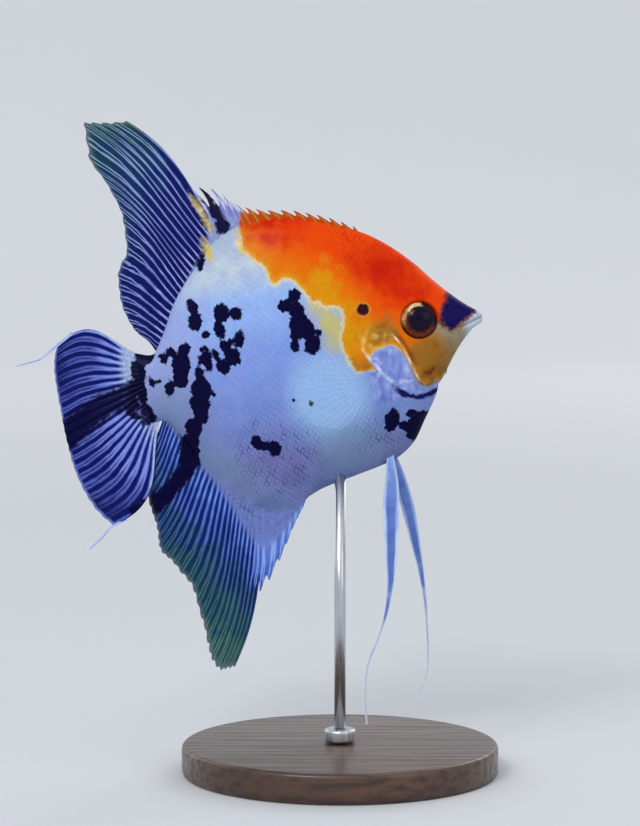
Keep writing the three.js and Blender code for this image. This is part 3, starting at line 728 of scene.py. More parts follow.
# ---------- the skin ----------
def make_skin():
    x, fraction = np.meshgrid(STATIONS, FRACTIONS, indexing="ij")
    points, normals = flank(x, fraction, RIGHT)
    normals[:, [0, -1], 1] = 0
    normals /= np.linalg.norm(normals, axis=-1, keepdims=True)
    points += normals * (relief(x, points[..., 2]) - COAT)[..., None]
    points[..., 1] = np.minimum(points[..., 1], -0.01)
    fields = {side: markings(x, points[..., 2], side) for side in (RIGHT, LEFT)}
    rings = np.concatenate([points, points[:, -2:0:-1] * (1, -1, 1)], 1)
    ends = np.stack([rings[0].mean(0), rings[-1].mean(0)])
    count, around = rings.shape[:2]
    here = np.arange(around)
    after = np.roll(here, -1)
    last, nose = (count - 1) * around, count * around
    nose_cap = np.stack([after, here, np.full(around, nose)], -1)
    tail_cap = np.stack([here + last, after + last, np.full(around, nose + 1)], -1)
    triangles = np.concatenate([split(grid_faces(count, around, wrap=True)), nose_cap, tail_cap])
    attributes = {}
    for key, values in fields[RIGHT].items():
        both = np.concatenate([values, fields[LEFT][key][:, -2:0:-1]], 1)
        attributes[key] = np.concatenate([both.ravel(), [both[0].mean(), both[-1].mean()]])
    skin = mesh_piece("skin", np.concatenate([rings.reshape(-1, 3), ends]), triangles, attributes)
    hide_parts("head", "lower_jaw", "gill_cover_left", "gill_cover_right", "trunk", "tail_stem")
    Flesh("flesh", scaled=False).dress(skin, "skin")


# ---------- the scales ----------
# The scaled part of the body, from behind the eye to the tail and down to the throat.
SCALED = [
    (-60, 60), (40, 60), (36, 12.6), (33.6, 10.6), (29, 10), (25.4, 10.6), (22.6, 13), (21, 13),
    (17.8, 9.6), (14.6, 6.5), (12.2, 3), (11, -0.4), (11.1, -2.6), (12.1, -4.6), (13.6, -7),
    (15.1, -9.8), (17.2, -12.4), (20.2, -15), (25, -17.1), (29.2, -16.8), (32.4, -15.2),
    (40, -20), (40, -60), (-60, -60),
]
FIRST_SCALE = 33.5  # x of the foremost
BARE_ROUND_EYE = 6.6  # distance from the middle of the eye where the scales begin
ROWS = 52  # more than reach the back or the belly
# Rings of points round a scale, as (share of the way out, points).
PLATE_RINGS = [(0.55, 6), (1.0, 11)]
# Half a scale's length and height, and its thickness, in gaps between rows.
PLATE_LONG, PLATE_HIGH, PLATE_THICK = 0.86 * SCALE_LENGTH, 1.02, 0.06
# The texture map: its margin, half a scale's patch, and the millimetres up a side.
MAP_MARGIN, MAP_PATCH, MAP_SPAN = 0.02, 0.0015, 90
FRONT_SCALES = -2  # x from which a scale belongs to the front piece
LEAST_ROOM = 0.45  # from a scale's middle to the edge of the back or the belly


def row_gap(x):
    """Spacing of the rows of scales, which are finest on the nape and the tail's root."""
    return np.interp(x, [-46, -34, -12, 14, 36], [0.72, 0.88, 1.04, 1.0, 0.66])


def scale_places():
    """Middle of each scale as its x and its distance round the flank from the mid-line."""
    steps = [FIRST_SCALE]
    while steps[-1] > STEM_END + 0.8:
        steps.append(steps[-1] - 0.5 * SCALE_LENGTH * row_gap(steps[-1]))
    steps = np.array(steps)
    places = []
    for row in range(-ROWS, ROWS + 1):
        x = steps[row % 2::2]
        places.append(np.stack([x, row * row_gap(x)], -1))
    places = np.concatenate(places)
    x, across = places.T
    room = side_length(x) / 2 - np.abs(across)
    angle = angle_at(x, np.clip(2 * across / side_length(x), -1, 1))
    _, z = ring_point(x, angle)
    from_eye = np.hypot(x - EYE_X, z - EYE_Z)
    keep = (room > LEAST_ROOM) & (outside(x, z, SCALED) < 0) & (from_eye > BARE_ROUND_EYE)
    front = keep & (x > FRONT_SCALES)
    return {"front": places[front], "rear": places[keep & ~front]}


def plate_outline():
    """Points of a scale's top, front to rear from -1 to 1, its faces, and the points of its rim."""
    points, rings = [(0, 0)], []
    for share, count in PLATE_RINGS:
        turn = 2 * math.pi * (np.arange(count) + 0.5) / count
        blunt = np.where(np.cos(turn) < 0, 0.8, 1)
        rings.append(len(points) + np.arange(count))
        points.extend(zip(share * np.cos(turn) * blunt, share * np.sin(turn)))
    inner, outer = rings
    faces = [(0, inner[i - 1], inner[i]) for i in range(len(inner))]
    i = j = 0
    while i < len(inner) or j < len(outer):
        near, far = inner[i % len(inner)], outer[j % len(outer)]
        if j * len(inner) <= i * len(outer):
            j += 1
            faces.append((far, outer[j % len(outer)], near))
        else:
            i += 1
            faces.append((near, far, inner[i % len(inner)]))
    return np.array(points), np.array(faces), outer


def plate_faces(faces, rim, corners):
    """Triangles of a closed scale: its top, the walls down from its rim, and its underside."""
    ring = corners + np.arange(len(rim))
    after = np.roll(ring, -1)
    walls = [np.stack([rim, ring, after], -1), np.stack([rim, after, np.roll(rim, -1)], -1)]
    under = np.stack([after, ring, np.full(len(rim), corners + len(rim))], -1)
    return np.concatenate([faces, *walls, under])


def map_patches(side, places, plate):
    """Each point's place on the map, where every scale has a patch and each side has its half."""
    root = np.stack([(SNOUT - places[:, 0]) / (SNOUT - STEM_END), 0.5 + places[:, 1] / MAP_SPAN], -1)
    root = root * (0.5 - 2 * MAP_MARGIN, 1 - 2 * MAP_MARGIN)
    root = root + (MAP_MARGIN + 0.5 * (side == LEFT), MAP_MARGIN)
    return (root[:, None] + plate[None] * MAP_PATCH).reshape(-1, 2)


def scale_points(side, places, plate, rim):
    """Each scale's points: its top, its rim again a little lower, and the middle of its underside."""
    size = row_gap(places[:, 0])[:, None]
    jitter = rng.normal(0, 0.035, places.shape)
    back_from, up = plate.T
    x = places[:, :1] - back_from * PLATE_LONG * size - jitter[:, :1]
    across = places[:, 1:] + up * PLATE_HIGH * size + jitter[:, 1:]
    half = side_length(x) / 2
    across = np.clip(across, 0.08 - half, half - 0.08)
    points, normals = flank(np.clip(x, STEM_END + 0.1, SNOUT), across / half, side)
    lift = 0.014 + 0.026 * back_from - 0.01 * np.hypot(back_from, up) ** 2
    ramp = lift * size * (1 + rng.normal(0, 0.12, (len(places), 1)))
    top = points + normals * (ramp - COAT + relief(x, points[..., 2]))[..., None]
    under = top[:, rim] - normals[:, rim] * (PLATE_THICK * size)[..., None]
    return np.concatenate([top, under, under.mean(1, keepdims=True)], 1)


def make_scales(side, name, places):
    plate, faces, rim = plate_outline()
    whole = scale_points(side, places, plate, rim)
    count, each = whole.shape[:2]
    one = plate_faces(faces, rim, len(plate))
    if side == RIGHT:
        one = one[:, ::-1]
    triangles = (np.arange(count)[:, None, None] * each + one).reshape(-1, 3)
    attributes = markings(whole[..., 0].ravel(), whole[..., 2].ravel(), side)
    seen = whole[:, np.argmax(plate[:, 0])] * 0.45 + whole[:, 0] * 0.55
    black = markings(seen[:, 0], seen[:, 2], side)["black"] + rng.normal(0, 0.1, count)
    attributes["black"] = 0.65 * attributes["black"] + 0.35 * np.repeat(black, each)
    attributes["tone"] = np.repeat(rng.uniform(0, 1, count), each)
    flat = np.concatenate([plate, plate[rim], [(0, 0)]])
    attributes["edge"] = np.tile(np.hypot(*flat.T) * smooth(flat[:, 0], -0.3, 0.3), count)
    rims = np.tile(np.isin(np.arange(each), rim), count)
    patches = map_patches(side, places, flat)
    scales = mesh_piece(name, whole, triangles, attributes, patches, rims)
    Flesh(name, scaled=True).dress(scales, "skin")


# ---------- the fins ----------
# Each key ray is (root x, tip x, tip z, bow), and the rays between two keys follow them. Rays that
# don't start along the back or the belly also say their root z.
DORSAL_SPINES = [
    (19, 17, 31, 0), (13, 9.6, 35.2, 0.2), (6, 2.4, 38.2, 0.3),
    (-2, -5.8, 40.2, 0.4), (-9, -12.2, 43, 0.5), (-13, -16.4, 47.6, 0.8),
    (-18.4, -24, 50.8, 1.4),
]
DORSAL_RAYS = [
    (-16.4, -35.4, 70.2, 2.6), (-19.4, -42.4, 71.3, 2.6), (-21.8, -47, 72.4, 2.4),
    (-24.4, -47.2, 63.6, 2), (-27, -44.2, 55.4, 1.6), (-29.6, -41.9, 46.6, 1.2),
    (-32, -42.6, 38, 1), (-34.4, -46.4, 31, 0.9), (-36.6, -47, 24.2, 0.8),
    (-38.6, -45.4, 17, 0.6), (-40.4, -42.4, 13, 0.2),
]
ANAL_SPINES = [
    (-8.4, -11.4, -38.6, 0), (-12, -15.2, -43.6, -0.3),
    (-15.8, -20.4, -51, -0.5), (-21, -27.2, -58.2, -0.6), (-23.4, -30.4, -57, -1.2),
]
ANAL_RAYS = [
    (-19.4, -38, -76.4, -2), (-22, -41.6, -76.6, -2.3),
    (-24.6, -43.7, -72, -2), (-27, -43.9, -63.4, -1.8),
    (-29.6, -44.8, -54, -1.4), (-32, -48.2, -46.6, -1.2),
    (-34.4, -50.9, -41.4, -1.1), (-36.6, -50.6, -35, -1),
    (-38.6, -51.2, -28.6, -0.9), (-40.6, -49, -20.6, -0.6),
    (-42.2, -45.6, -12.4, -0.1),
]
TAIL_RAYS = [
    (-43.6, -65.6, 17, 5, 8.8), (-44, -67.6, 11.6, 3.4, 6.8), (-44.2, -68.2, 5.4, 1.8, 4.7),
    (-44.3, -68.4, -1, 0.8, 2.6), (-44.3, -68.5, -7, 0, 0.5), (-44.1, -68.4, -13.2, -0.8, -1.6),
    (-43.8, -67.6, -19.4, -1.9, -3.6), (-43.3, -65.6, -26.4, -3.4, -5.5),
    (-42.8, -61.6, -33.2, -5.2, -7.2),
]
PECTORAL_RAYS = [
    (11.4, -2.6, -0.4, 1.4, -6.8), (11.2, -6.4, -5.2, 0.8, -8.2), (11.1, -7.2, -11.4, 0.2, -9.6),
    (11.1, -4.2, -17, -0.6, -10.9), (11.4, 2, -20, -1.2, -12),
]
# Threads and pelvic fins follow a front edge of [x, z] points.
TAIL_THREADS = [
    [(-61, 18.6), (-66.4, 15.8), (-71.4, 13.6), (-77, 13.4)],
    [(-57.6, -32.4), (-61.6, -33.4), (-65, -35.8), (-68.8, -37.8)],
]
PELVIC_RIGHT = [
    (14.8, -28.6), (14.6, -36), (12.8, -46), (8.9, -60), (5.6, -68.4), (1.2, -76.2), (-3, -82.6),
    (-4.9, -88), (-6.7, -98),
]
PELVIC_LEFT = [
    (15, -28.6), (16.8, -37), (17.4, -46), (16.4, -62), (14.3, -78), (12, -89), (7.6, -95.8),
]
PER_RAY = 10  # columns of the mesh from one ray to the next
FORKING = 0.35  # share of a ray's length over which its branches part
APART = 0.17  # how far its branches part, in gaps between rays
WEB, BLADE = 0.06, 0.07  # half the thickness between the rays, of a fan and of a ribbon
TAIL_COUNT = 20  # rays of the tail


def along(keys, column):
    """A column of a list of key rays, as a smooth function from 0 at the first to 1 at the last."""
    return through([(i / (len(keys) - 1), key[column]) for i, key in enumerate(keys)])


def rib_pattern(phase, v, fork):
    """1 along the rays and 0 between them. Past the fork, each ray is a pair of finer ones."""
    far = np.abs(phase - np.round(phase))
    forked = smooth(v, fork, fork + FORKING)
    return np.exp(-((np.abs(far - APART * forked) / (0.2 * (1 - 0.42 * forked))) ** 2))


def sheet(x, z, centre, half, **attributes):
    """Points, faces and attributes of a thin closed sheet, half thick to each side of its centre."""
    points = np.stack([np.stack([x, centre + side * half, z], -1) for side in (LEFT, RIGHT)])
    attributes = {key: np.stack([a + 0 * x] * 2).ravel() for key, a in attributes.items()}
    front = grid_faces(*x.shape)
    grid = np.arange(x.size).reshape(x.shape)
    edge = np.concatenate([grid[:-1, 0], grid[-1, :-1], grid[:0:-1, -1], grid[0, :0:-1]])
    after = np.roll(edge, -1)
    hem = np.stack([after, edge, edge + x.size, after + x.size], -1)
    return points.reshape(-1, 3), np.concatenate([front, front[:, ::-1] + x.size, hem]), attributes


def fan(keys, count, edge, middle, thick, notch, fork=2.0, rows=64, ragged=0.006, tall=False):
    """A fan of rays from an edge of the body. middle(x, z, v) is the middle of its thickness, notch
    how far the web falls back between two rays, and ragged how unevenly they end. The colours follow
    the height as well as the ray where tall is true."""
    root_x, tip_x, tip_z, bow = (along(keys, column) for column in range(4))
    u = np.linspace(0, 1, PER_RAY * (count - 1) + 1)[:, None]
    if edge:
        root_z = edge(root_x(u)) + FIN_ROOT_DEPTH * (-1 if edge is back else 1)
    else:
        root_z = along(keys, 4)(u)
    phase = u * (count - 1)
    web = (1 - np.cos(2 * math.pi * phase)) / 2
    lengths = rng.normal(0, ragged, count + 1)
    reach = 1 - notch * web + np.interp(phase, np.arange(count + 1), lengths)
    nicks = np.interp(phase, np.linspace(0, count, 4 * count), rng.normal(0, ragged / 2, 4 * count))
    v = np.linspace(0, 1, rows)[None, :] * np.minimum(reach + nicks, 1)
    dx, dz = tip_x(u) - root_x(u), tip_z(u) - root_z
    wander = 0.05 * v * np.sin(1.7 * phase + 5 * v)
    off = (bow(u) * np.sin(math.pi * v ** 1.6) + wander) / np.hypot(dx, dz)
    x, z = root_x(u) + dx * v + off * dz, root_z + dz * v - off * dx
    rib = rib_pattern(phase, v, fork)
    half = (WEB + (thick - WEB) * rib * (1 - 0.55 * v)) * (1 - 0.5 * smooth(v, 0.93, 1))
    half = half * np.minimum(1, 0.35 + 2 * np.minimum(phase, count - 1 - phase))
    out = 0.45 * v + 0.55 * np.clip((np.abs(z) - 30) / 42, 0, 1) if tall else v
    return sheet(x, z, middle(x, z, v), half, rib=rib, vee=v / v[:, -1:], out=out, pale=0, phase=phase)


def ribbon(edge_points, width, middle, thick, rays, rows=120, columns=24):
    """A blade behind a curved front edge that runs from root to tip."""
    line = np.array(edge_points, float)
    run = np.concatenate([[0], np.cumsum(np.hypot(*np.diff(line, axis=0).T))])
    x_at, z_at = (through(list(zip(run / run[-1], column))) for column in line.T)
    v = np.linspace(0, 1, rows)[None, :]
    u = np.linspace(0, 1, columns)[:, None]
    later, earlier = np.minimum(v + 0.02, 1), np.maximum(v - 0.02, 0)
    dx, dz = x_at(later) - x_at(earlier), z_at(later) - z_at(earlier)
    reach = u * width(v) / np.hypot(dx, dz)
    rib = np.maximum(np.exp(-((u / 0.16) ** 2)), 0.25 * np.cos(math.pi * rays * u) ** 4)
    swell = np.sqrt(np.clip(1 - (2 * u - 1) ** 8, 0, 1))
    half = (BLADE + (thick - BLADE) * rib) * (0.3 + 0.7 * swell) * (1 - 0.6 * v)
    x, z = x_at(v) + reach * dz, z_at(v) - reach * dx
    return sheet(x, z, middle(v), half, rib=rib, vee=v, out=v, pale=0, phase=u)


class FinSkin(Finish):
    """A fin's material. alpha is how solid its skin is, width is half a ray's, in gaps between rays,
    and forks hold where the rays branch, and how far."""

    def __init__(self, name, skin_ramp, ray_ramp, alpha, width, forks=(), ray_alpha=1.0, rooted=0.0,
                 frayed=1.0):
        super().__init__(
            name, roughness=0.42, specular_ior_level=0.03, coat_weight=0.03, coat_roughness=0.08,
        )
        self.along, self.rib = self.attribute("vee"), self.attribute("rib")
        self.shift = self.attribute("pale") * 0.3
        self.ray = self.ray_share(width, forks)
        place = self.attribute("out") + self.noise(0.22, 3, -0.12, 0.12) - self.shift
        self.colour = self.mix(self.ray, place.ramp(skin_ramp), place.ramp(ray_ramp))
        opaque = self.ray.between(0, 1, alpha, ray_alpha) * self.along.between(0.93, 1, 1, frayed)
        if rooted:
            opaque = opaque * self.along.between(0, rooted)
        self.set(self.shader["Alpha"], opaque)
        joints = {"Vector": self.add("ShaderNodeCombineXYZ", {0: self.along}), "Scale": 16}
        self.bump(self.add("ShaderNodeTexWave", joints, output=1) * self.rib, 0.04, 0.4)

    def ray_share(self, width, forks):
        """1 on a ray and 0 between rays, which sway a little and branch at each fork."""
        phase = self.attribute("phase")
        lie = self.add("ShaderNodeCombineXYZ", {0: phase, 1: self.along})
        lie = self.add("ShaderNodeVectorMath", {0: lie, 1: (2.4, 6, 1)}, operation="MULTIPLY")
        sway = self.add("ShaderNodeTexNoise", {"Vector": lie, "Scale": 1.0, "Detail": 3.0})
        far = self.math("PINGPONG", phase + sway.between(0.25, 0.75, -0.07, 0.07), 0.5)
        for at, apart in forks:
            far = abs(far - self.along.between(at, at + FORKING, 0, apart))
            width = self.along.between(at, at + FORKING, 1, 0.5) * width
        return (far / width).between(1.8, 0.3)

    def lay_margin(self, colour):
        self.lay(self.along.between(0.975, 0.99, 0, 0.7), colour)

    def lay_sheath(self, until, colour):
        """The pale scaly root, which reaches so far out, from 0 to 1."""
        inputs = {"Vector": self.millimetres, "Scale": 0.75}
        cells = self.add("ShaderNodeTexVoronoi", inputs, feature="DISTANCE_TO_EDGE")
        colour = self.mix(cells.between(0.16, 0.02, 0, 0.3), colour, (70, 80, 140))
        fringe = self.along - self.rib * (0.3 * until) - self.shift * 0.5
        self.lay(fringe.between(1.2 * until, 0.3 * until), colour)

    def lay_markings(self):
        """The body's markings, where they run out over a fin."""
        fine = self.noise(0.85, 3, -0.55, 0.55)
        orange = (self.attribute("cap") + fine).between(-0.4, 1, 1, 0)
        self.lay(orange, self.mix(self.ray, (186, 70, 6), (176, 118, 62)))
        yellow = self.mix(self.noise(0.5), (156, 132, 52), (214, 202, 150))
        self.lay(self.patch("yellow", 0.7, fine * 0.6), yellow)
        self.lay((self.attribute("bands") + fine).between(-0.9, 1.3, 0.97, 0), (4, 2, 48))
        self.lay((self.attribute("black") + fine * 0.8).between(-0.2, 0.5, 0.98, 0), BLACK)
        self.lay(self.patch("specks", 0.4, fine, -0.1), (104, 98, 168))


def merge(*parts):
    """Several sets of points, faces and attributes as one."""
    points, faces, attributes = zip(*parts)
    starts = np.cumsum([0, *map(len, points[:-1])])
    joined = {key: np.concatenate([a[key] for a in attributes]) for key in attributes[0]}
    faces = np.concatenate([quads + start for quads, start in zip(faces, starts)])
    return np.concatenate(points), faces, joined


def fin_piece(name, part, finish, slot, side=RIGHT):
    points, faces, attributes = part
    fields = markings(points[:, 0], points[:, 2], side)
    attributes |= {key: fields[key] for key in ("black", "cap", "yellow", "bands", "specks")}
    piece = mesh_piece(name, points, faces, attributes)
    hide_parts(name.removesuffix("_form"))
    finish.dress(piece, slot)


def ripple(size, pace, x, z, v):
    """A slow wave across a fin that grows towards its tips."""
    return size * v * v * np.sin(pace * x + 0.6 * pace * z)


def bend(rate, past):
    """A sideways bend that sets in past a place."""
    return rate * np.maximum(0, past) ** 2


def dorsal_finish():
    skin = FinSkin("dorsal", [
        (-0.35, (122, 124, 186)), (-0.12, (46, 54, 138)), (0, (8, 14, 86)), (0.42, (12, 24, 88)),
        (0.66, (20, 46, 88)), (1, (26, 62, 70)),
    ], [
        (-0.35, (186, 192, 224)), (-0.05, (166, 176, 232)), (0.2, (112, 122, 188)),
        (0.5, (128, 144, 206)), (0.75, (122, 148, 184)), (1, (124, 160, 166)),
    ], alpha=0.97, width=0.11, forks=[(0.5, APART)], frayed=0.7)
    skin.lay_margin((70, 92, 132))
    skin.lay_sheath(0.05, (140, 154, 206))
    skin.lay_markings()
    return skin


def make_dorsal_fin():
    def middle(x, z, v):
        return bend(0.0012, z - 36) + ripple(0.5, 0.16, x, z, v)

    spines = fan(DORSAL_SPINES, 16, back, middle, 0.3, 0.42, rows=30, tall=True)
    spines[2]["pale"][:] = 2
    rays = fan(DORSAL_RAYS, 24, back, middle, 0.26, 0.015, fork=0.55, ragged=0.004, tall=True)
    fin = merge(spines, rays)
    fin[2]["pale"] += 1.2 * smooth(fin[0][:, 0] + 0.36 * fin[0][:, 2], -10, -3)
    fin_piece("dorsal_fin_form", fin, dorsal_finish(), "fin")


def anal_finish():
    skin = FinSkin("anal", [
        (-0.5, (106, 130, 198)), (-0.15, (66, 100, 184)), (0.04, (18, 44, 130)),
        (0.26, (8, 28, 104)), (0.5, (10, 34, 80)), (0.78, (18, 54, 74)), (1, (34, 74, 70)),
    ], [
        (-0.5, (144, 166, 228)), (0, (120, 148, 224)), (0.26, (84, 112, 188)),
        (0.5, (58, 90, 138)), (0.78, (60, 98, 112)), (1, (86, 122, 120)),
    ], alpha=0.97, width=0.17, forks=[(0.5, APART)], frayed=0.7)
    skin.lay_margin((54, 84, 110))
    skin.lay_sheath(0.12, (108, 126, 188))
    skin.lay_markings()
    return skin


def make_anal_fin():
    def middle(x, z, v):
        beside_tail = 1.1 * smooth(-x, 41, 47) * smooth(-z, -4, 12)
        return bend(-0.0009, -36 - z) + ripple(0.5, 0.14, x, z, v) + beside_tail

    spines = fan(ANAL_SPINES, 9, belly, middle, 0.3, 0.14, rows=30, tall=True)
    spines[0][:, 1] -= 0.1
    spines[2]["pale"][:] = 1.5
    rays = fan(ANAL_RAYS, 29, belly, middle, 0.26, 0.015, fork=0.5, ragged=0.004, tall=True)
    fin = merge(spines, rays)
    fin[2]["pale"] += 1.3 * smooth(fin[0][:, 0], -36, -22)
    fin[2]["out"] += 0.08 * smooth(-fin[0][:, 0], 38, 45)
    fin_piece("anal_fin_form", fin, anal_finish(), "fin")


def tail_finish():
    skin = FinSkin("caudal", [
        (0, (96, 124, 204)), (0.22, (14, 34, 128)), (0.6, (8, 18, 98)), (1.3, (14, 22, 84)),
    ], [
        (0, (186, 198, 230)), (0.2, (152, 168, 224)), (0.5, (120, 136, 214)), (0.9, (76, 88, 168)),
        (1.3, (34, 44, 110)),
    ], alpha=0.98, width=0.2, forks=[(0.3, 0.16), (0.7, 0.06)])
    skin.lay_margin((120, 132, 200))
    skin.lay_sheath(0.2, (166, 184, 220))
    skin.lay_markings()
    return skin


def tail_bend(x):
    return bend(-0.0035, -45 - x)


def tail_thread(points):
    """One of the two long threads that the tail's outermost rays end in."""
    x0, x1 = points[0][0], points[-1][0]
    thread = ribbon(
        points, lambda v: 0.75 - 0.45 * v, lambda v: tail_bend(x0 + (x1 - x0) * v), 0.3, 1,
        rows=40, columns=8,
    )
    for key, value in (("rib", 1), ("phase", 0), ("vee", 0.34), ("out", 0.15)):
        thread[2][key][:] = value
    return thread


def make_tail_fin():
    def middle(x, z, v):
        return tail_bend(x) + ripple(0.45, 0.2, x, z, v)

    fin = fan(TAIL_RAYS, TAIL_COUNT, None, middle, 0.3, 0.006, fork=0.35, ragged=0.002)
    height, shades = fin[0][:, 2], fin[2]
    outermost = np.minimum(shades["phase"], TAIL_COUNT - 1 - shades["phase"])
    near_root = 1 - smooth(shades["vee"], 0.1, 0.5)
    upper_lobe = smooth(height, -1, 5)
    shades["pale"] += 1.2 * upper_lobe * near_root + 1.4 * (1 - smooth(outermost, 0.2, 0.6))
    shades["out"] += 0.2 * upper_lobe * (1 - near_root) + 0.4 * smooth(-height, 18, 34)
    fin = merge(fin, *map(tail_thread, TAIL_THREADS))
    fin_piece("caudal_fin_form", fin, tail_finish(), "fin")


def make_pectoral_fins():
    clear = FinSkin(
        "clear", [(0, (176, 208, 244)), (1, (160, 194, 238))],
        [(0, (200, 222, 248)), (1, (182, 206, 240))],
        alpha=0.05, width=0.12, forks=[(0.35, APART)], ray_alpha=0.12, rooted=0.3,
    )
    for side, name in SIDES:
        def middle(x, z, v, side=side):
            return side * (flank_depth(x, z) + 0.45 + 3.6 * v * v)

        fin = fan(PECTORAL_RAYS, 13, None, middle, 0.16, 0.05, fork=0.35, rows=40)
        fin_piece(f"pectoral_fin_{name}_form", fin, clear, "clear_fin", side)


def make_pelvic_fins():
    skin = FinSkin("pelvic", [
        (0, (140, 168, 222)), (0.12, (110, 136, 204)), (0.35, (84, 112, 186)),
        (0.5, (100, 124, 190)), (0.75, (188, 196, 220)), (1, (206, 210, 226)),
    ], [
        (0, (160, 184, 230)), (0.2, (170, 192, 234)), (0.4, (192, 208, 240)), (1, (220, 224, 236)),
    ], alpha=0.9, width=0.16)
    for (side, name), points, widest in zip(SIDES, (PELVIC_LEFT, PELVIC_RIGHT), (2.7, 3.5)):
        def width(v, widest=widest):
            blade = widest * smooth(v, -0.08, 0.2) * (1 - smooth(v, 0.2, 0.66))
            return blade + 0.8 - 0.35 * smooth(v, 0.5, 1)

        def middle(v, side=side):
            return side * (0.9 + 4.6 * np.sin(2 * v))

        fin = ribbon(points, width, middle, 0.42, 3)
        fin_piece(f"pelvic_fin_{name}_form", fin, skin, "fin", side)


# ---------- the eyes ----------
# The hidden rear of the eyeball, as (radius, height from its outermost point).
EYE_REAR = [(4.6, -3.2), (2.6, -5.0), (PINHOLE, -5.6)]


def eye_bowl(radius):
    """Height of the eyeball's outer surface at a radius, from its outermost point."""
    return EYE_HALF_DEPTH * (math.sqrt(1 - (radius / EYE_RADIUS) ** 2) - 1)


def eye_finish():
    eye = Finish("eye_surface", roughness=0.06, specular_ior_level=0.12)
    across, east, north = (eye.attribute(key) for key in ("across", "east", "north"))
    streaks = eye.noise(1.1, 4)
    radius = across + eye.noise(1.6, 3, -0.2, 0.2)
    eye.colour = radius.ramp([
        (2.2, (5, 4, 40)), (2.75, (30, 8, 16)), (3.3, (92, 34, 18)), (4.1, (120, 54, 26)),
        (4.6, (70, 28, 18)),
    ])
    eye.lay(streaks.between(0.3, 0.9, 0, 0.5), (40, 12, 14))
    shaded = (east + north * 0.9).between(-0.4, 2.4, 0, 0.93) * radius.between(2.4, 3)
    eye.lay(shaded, (12, 6, 24))
    arc = radius.between(3.55, 3.85) * east.between(1.9, 0.6) * north.between(-1.6, 1.4)
    broken = streaks.between(0, 0.7, 0.6, 1) * eye.noise(0.45, 2).between(0.2, 0.6, 0.35, 1)
    eye.lay(arc * broken, (236, 204, 150))
    return eye


def make_eyes():
    surface = eye_finish()
    dome = [(PINHOLE, 0)] + [(r, eye_bowl(r)) for r in np.linspace(0, EYE_DOME, 40)[1:]]
    rings = turned(dome + EYE_REAR, 128)
    east, north = rings[..., 0], rings[..., 1]
    fields = {"across": np.hypot(east, north), "east": east, "north": north}
    for side, name in SIDES:
        axis = np.array([0.13, side, 0.02])
        axis /= np.linalg.norm(axis)
        forward = np.array([1, 0, 0]) - axis * axis[0]
        forward /= np.linalg.norm(forward)
        upward = np.array([0, 0, 1]) - axis * axis[2]
        outermost = (EYE_X, side * (flank_depth(EYE_X, EYE_Z) + EYE_PROUD), EYE_Z)
        points = outermost + rings @ np.stack([forward, upward, axis])
        ball = mesh_piece(f"eye_{name}_ball", points, split(grid_faces(*east.shape, wrap=True)), fields)
        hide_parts(f"eye_{name}")
        surface.dress(ball, "eye")


# ---------- the stand ----------
def turned_piece(name, profile, sides):
    """A turned piece about the model's upright axis, in metres."""
    points = turned(profile, sides).reshape(-1, 3)
    piece = new_object(new_mesh(name, points, grid_faces(len(profile), sides, wrap=True)))
    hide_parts(name.removesuffix("_form"))
    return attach(piece, "root")


def rounded(profile, radius, steps=6):
    """A profile with its inner corners rounded."""
    points = [np.array(point, float) for point in profile]
    result = [tuple(points[0])]
    for before, corner, after in zip(points[:-2], points[1:-1], points[2:]):
        start = corner + (before - corner) / np.linalg.norm(before - corner) * radius
        end = corner + (after - corner) / np.linalg.norm(after - corner) * radius
        for t in np.linspace(0, 1, steps):
            result.append(tuple((1 - t) ** 2 * start + 2 * t * (1 - t) * corner + t * t * end))
    return result + [tuple(points[-1])]


def wood_finish():
    wood = Finish("walnut", roughness=0.38, coat_weight=0.3, coat_roughness=0.2)
    grain = wood.noise(0.5, 6, stretch=(0.06, 1, 1))
    pores = wood.noise(2.2, 4, stretch=(0.05, 1, 1))
    wood.colour = wood.mix(wood.noise(0.05, 3, stretch=(0.35, 1, 1)), (62, 38, 26), (88, 56, 36))
    wood.lay(grain.between(0.35, 0.8, 0, 0.8), (38, 22, 15))
    wood.lay(pores.between(0.7, 0.95, 0, 0.7), (24, 14, 10))
    wood.set(wood.shader["Roughness"], grain.between(0, 1, 0.32, 0.5))
    wood.bump(pores, 0.06, 0.5)
    return wood


def steel_finish():
    steel = Finish("satin_steel", metallic=1.0, roughness=0.3)
    brush = steel.noise(1.6, 4, stretch=(1, 1, 0.04))
    steel.colour = steel.mix(brush, (182, 184, 188), (206, 208, 212))
    steel.set(steel.shader["Roughness"], brush.between(0, 1, 0.24, 0.38))
    steel.bump(brush, 0.02, 0.3)
    return steel


def make_stand():
    low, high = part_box("stand_base")
    hole, radius, top = 0.1 * MM, high.x, high.z
    base = rounded([(hole, low.z), (radius, low.z), (radius, top), (hole, top)], 1.5 * MM)
    wood_finish().dress(turned_piece("stand_base_form", base, 160), "stand_wood")
    steel = steel_finish()
    low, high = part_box("stand_collar")
    rod_low, rod_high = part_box("stand_rod")
    rod = rod_high.x
    bore = rod + 0.02 * MM
    collar = [(bore, low.z), (high.x, low.z), (high.x, high.z), (bore, high.z)]
    steel.dress(turned_piece("stand_collar_form", rounded(collar, 0.8 * MM), 96), "stand_steel")
    foot, top = rod_low.z - 0.3 * MM, rod_high.z + 0.8 * MM
    bar = [(hole, foot), (rod, foot), (rod, top), (hole, top)]
    steel.dress(turned_piece("stand_rod_form", bar, 48), "stand_steel")


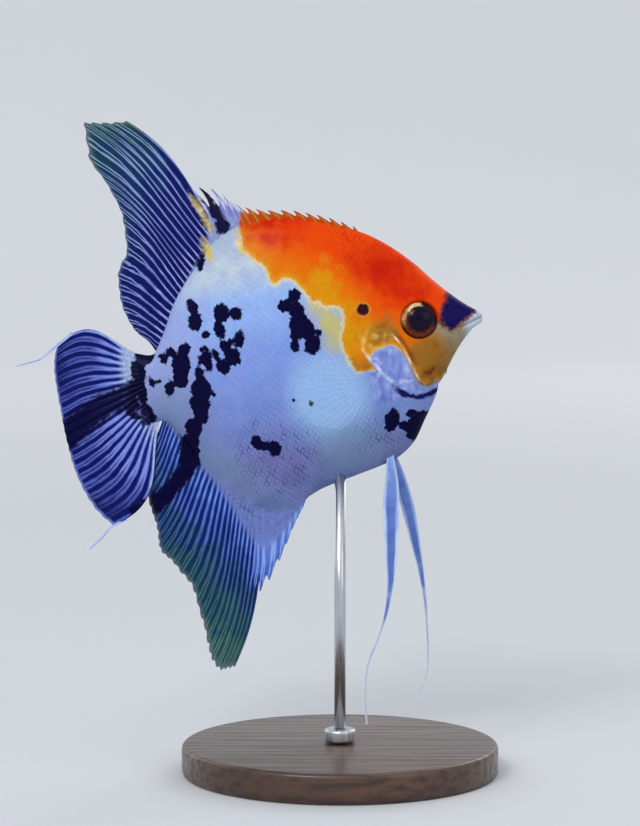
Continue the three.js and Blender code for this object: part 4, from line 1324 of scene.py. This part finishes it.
# ---------- the studio ----------
def make_studio():
    """A plain pale floor that turns up into a low wall far off on every side."""
    wide, bend, tall = 3.4, 1.1, 1.6
    turn = np.linspace(0, math.pi / 2, 20)
    rise = [(wide - bend + bend * math.sin(t), bend - bend * math.cos(t)) for t in turn]
    rings = turned([(PINHOLE, 0), (0.3, 0), (1, 0), *rise, (wide, tall)], 96)
    floor = new_object(new_mesh("floor", rings.reshape(-1, 3), grid_faces(*rings.shape[:2], wrap=True)))
    paint = Finish("floor", roughness=0.85, specular_ior_level=0.2)
    away = paint.add("ShaderNodeVectorMath", {0: paint.place}, output=1, operation="LENGTH")
    paint.colour = paint.mix(away.between(0.3, 3), (196, 199, 203), (236, 238, 241))
    paint.dress(floor)


def softbox(name, place, power, size):
    light = bpy.data.lights.new(name, "AREA")
    light.energy, light.size = power, size
    lamp = bpy.data.objects.new(name, light)
    lamp.location = place
    target = Vector((FISH_X * MM, 0, FISH_Z * MM))
    lamp.rotation_euler = (target - lamp.location).to_track_quat("-Z", "Y").to_euler()
    bpy.context.scene.collection.objects.link(lamp)


def make_lights():
    softbox("key", (-0.6, -1.1, 1.1), 9, 0.8)
    softbox("spark", (-0.5, -1.0, 0.95), 2.5, 0.14)
    softbox("fill", (1.3, -1.2, 0.78), 3.25, 1.0)
    softbox("overhead", (0.2, 0.1, 1.5), 2, 1.0)
    softbox("back", (1.2, 1.6, 1.3), 9, 1.2)
    softbox("back_fill", (-1.4, 1.4, 0.9), 4, 1.2)
    world = bpy.data.worlds.new("studio")
    world.use_nodes = True
    background = world.node_tree.nodes["Background"].inputs
    background["Color"].default_value = (0.95, 0.97, 1, 1)
    background["Strength"].default_value = 0.75
    bpy.context.scene.world = world
    bpy.context.scene.view_settings.view_transform = "Standard"


def make_camera():
    """Level with the fish's right side and a little above it."""
    distance, frame_height = 0.7, 0.2176
    data = bpy.data.cameras.new("camera")
    data.lens = data.sensor_width * distance / frame_height
    camera = bpy.data.objects.new("camera", data)
    target = Vector(((FISH_X + 1.3) * MM, 0, (FISH_Z - 15.3) * MM))
    rise = math.radians(4)
    camera.location = target + distance * Vector((0, -math.cos(rise), math.sin(rise)))
    camera.rotation_euler = (target - camera.location).to_track_quat("-Z", "Y").to_euler()
    bpy.context.scene.collection.objects.link(camera)
    bpy.context.scene.camera = camera


make_skin()
for side, name in reversed(SIDES):
    for end, places in scale_places().items():
        make_scales(side, f"scales_{name}_{end}", places)
make_dorsal_fin()
make_anal_fin()
make_tail_fin()
make_pectoral_fins()
make_pelvic_fins()
make_eyes()
make_stand()
make_studio()
make_lights()
make_camera()
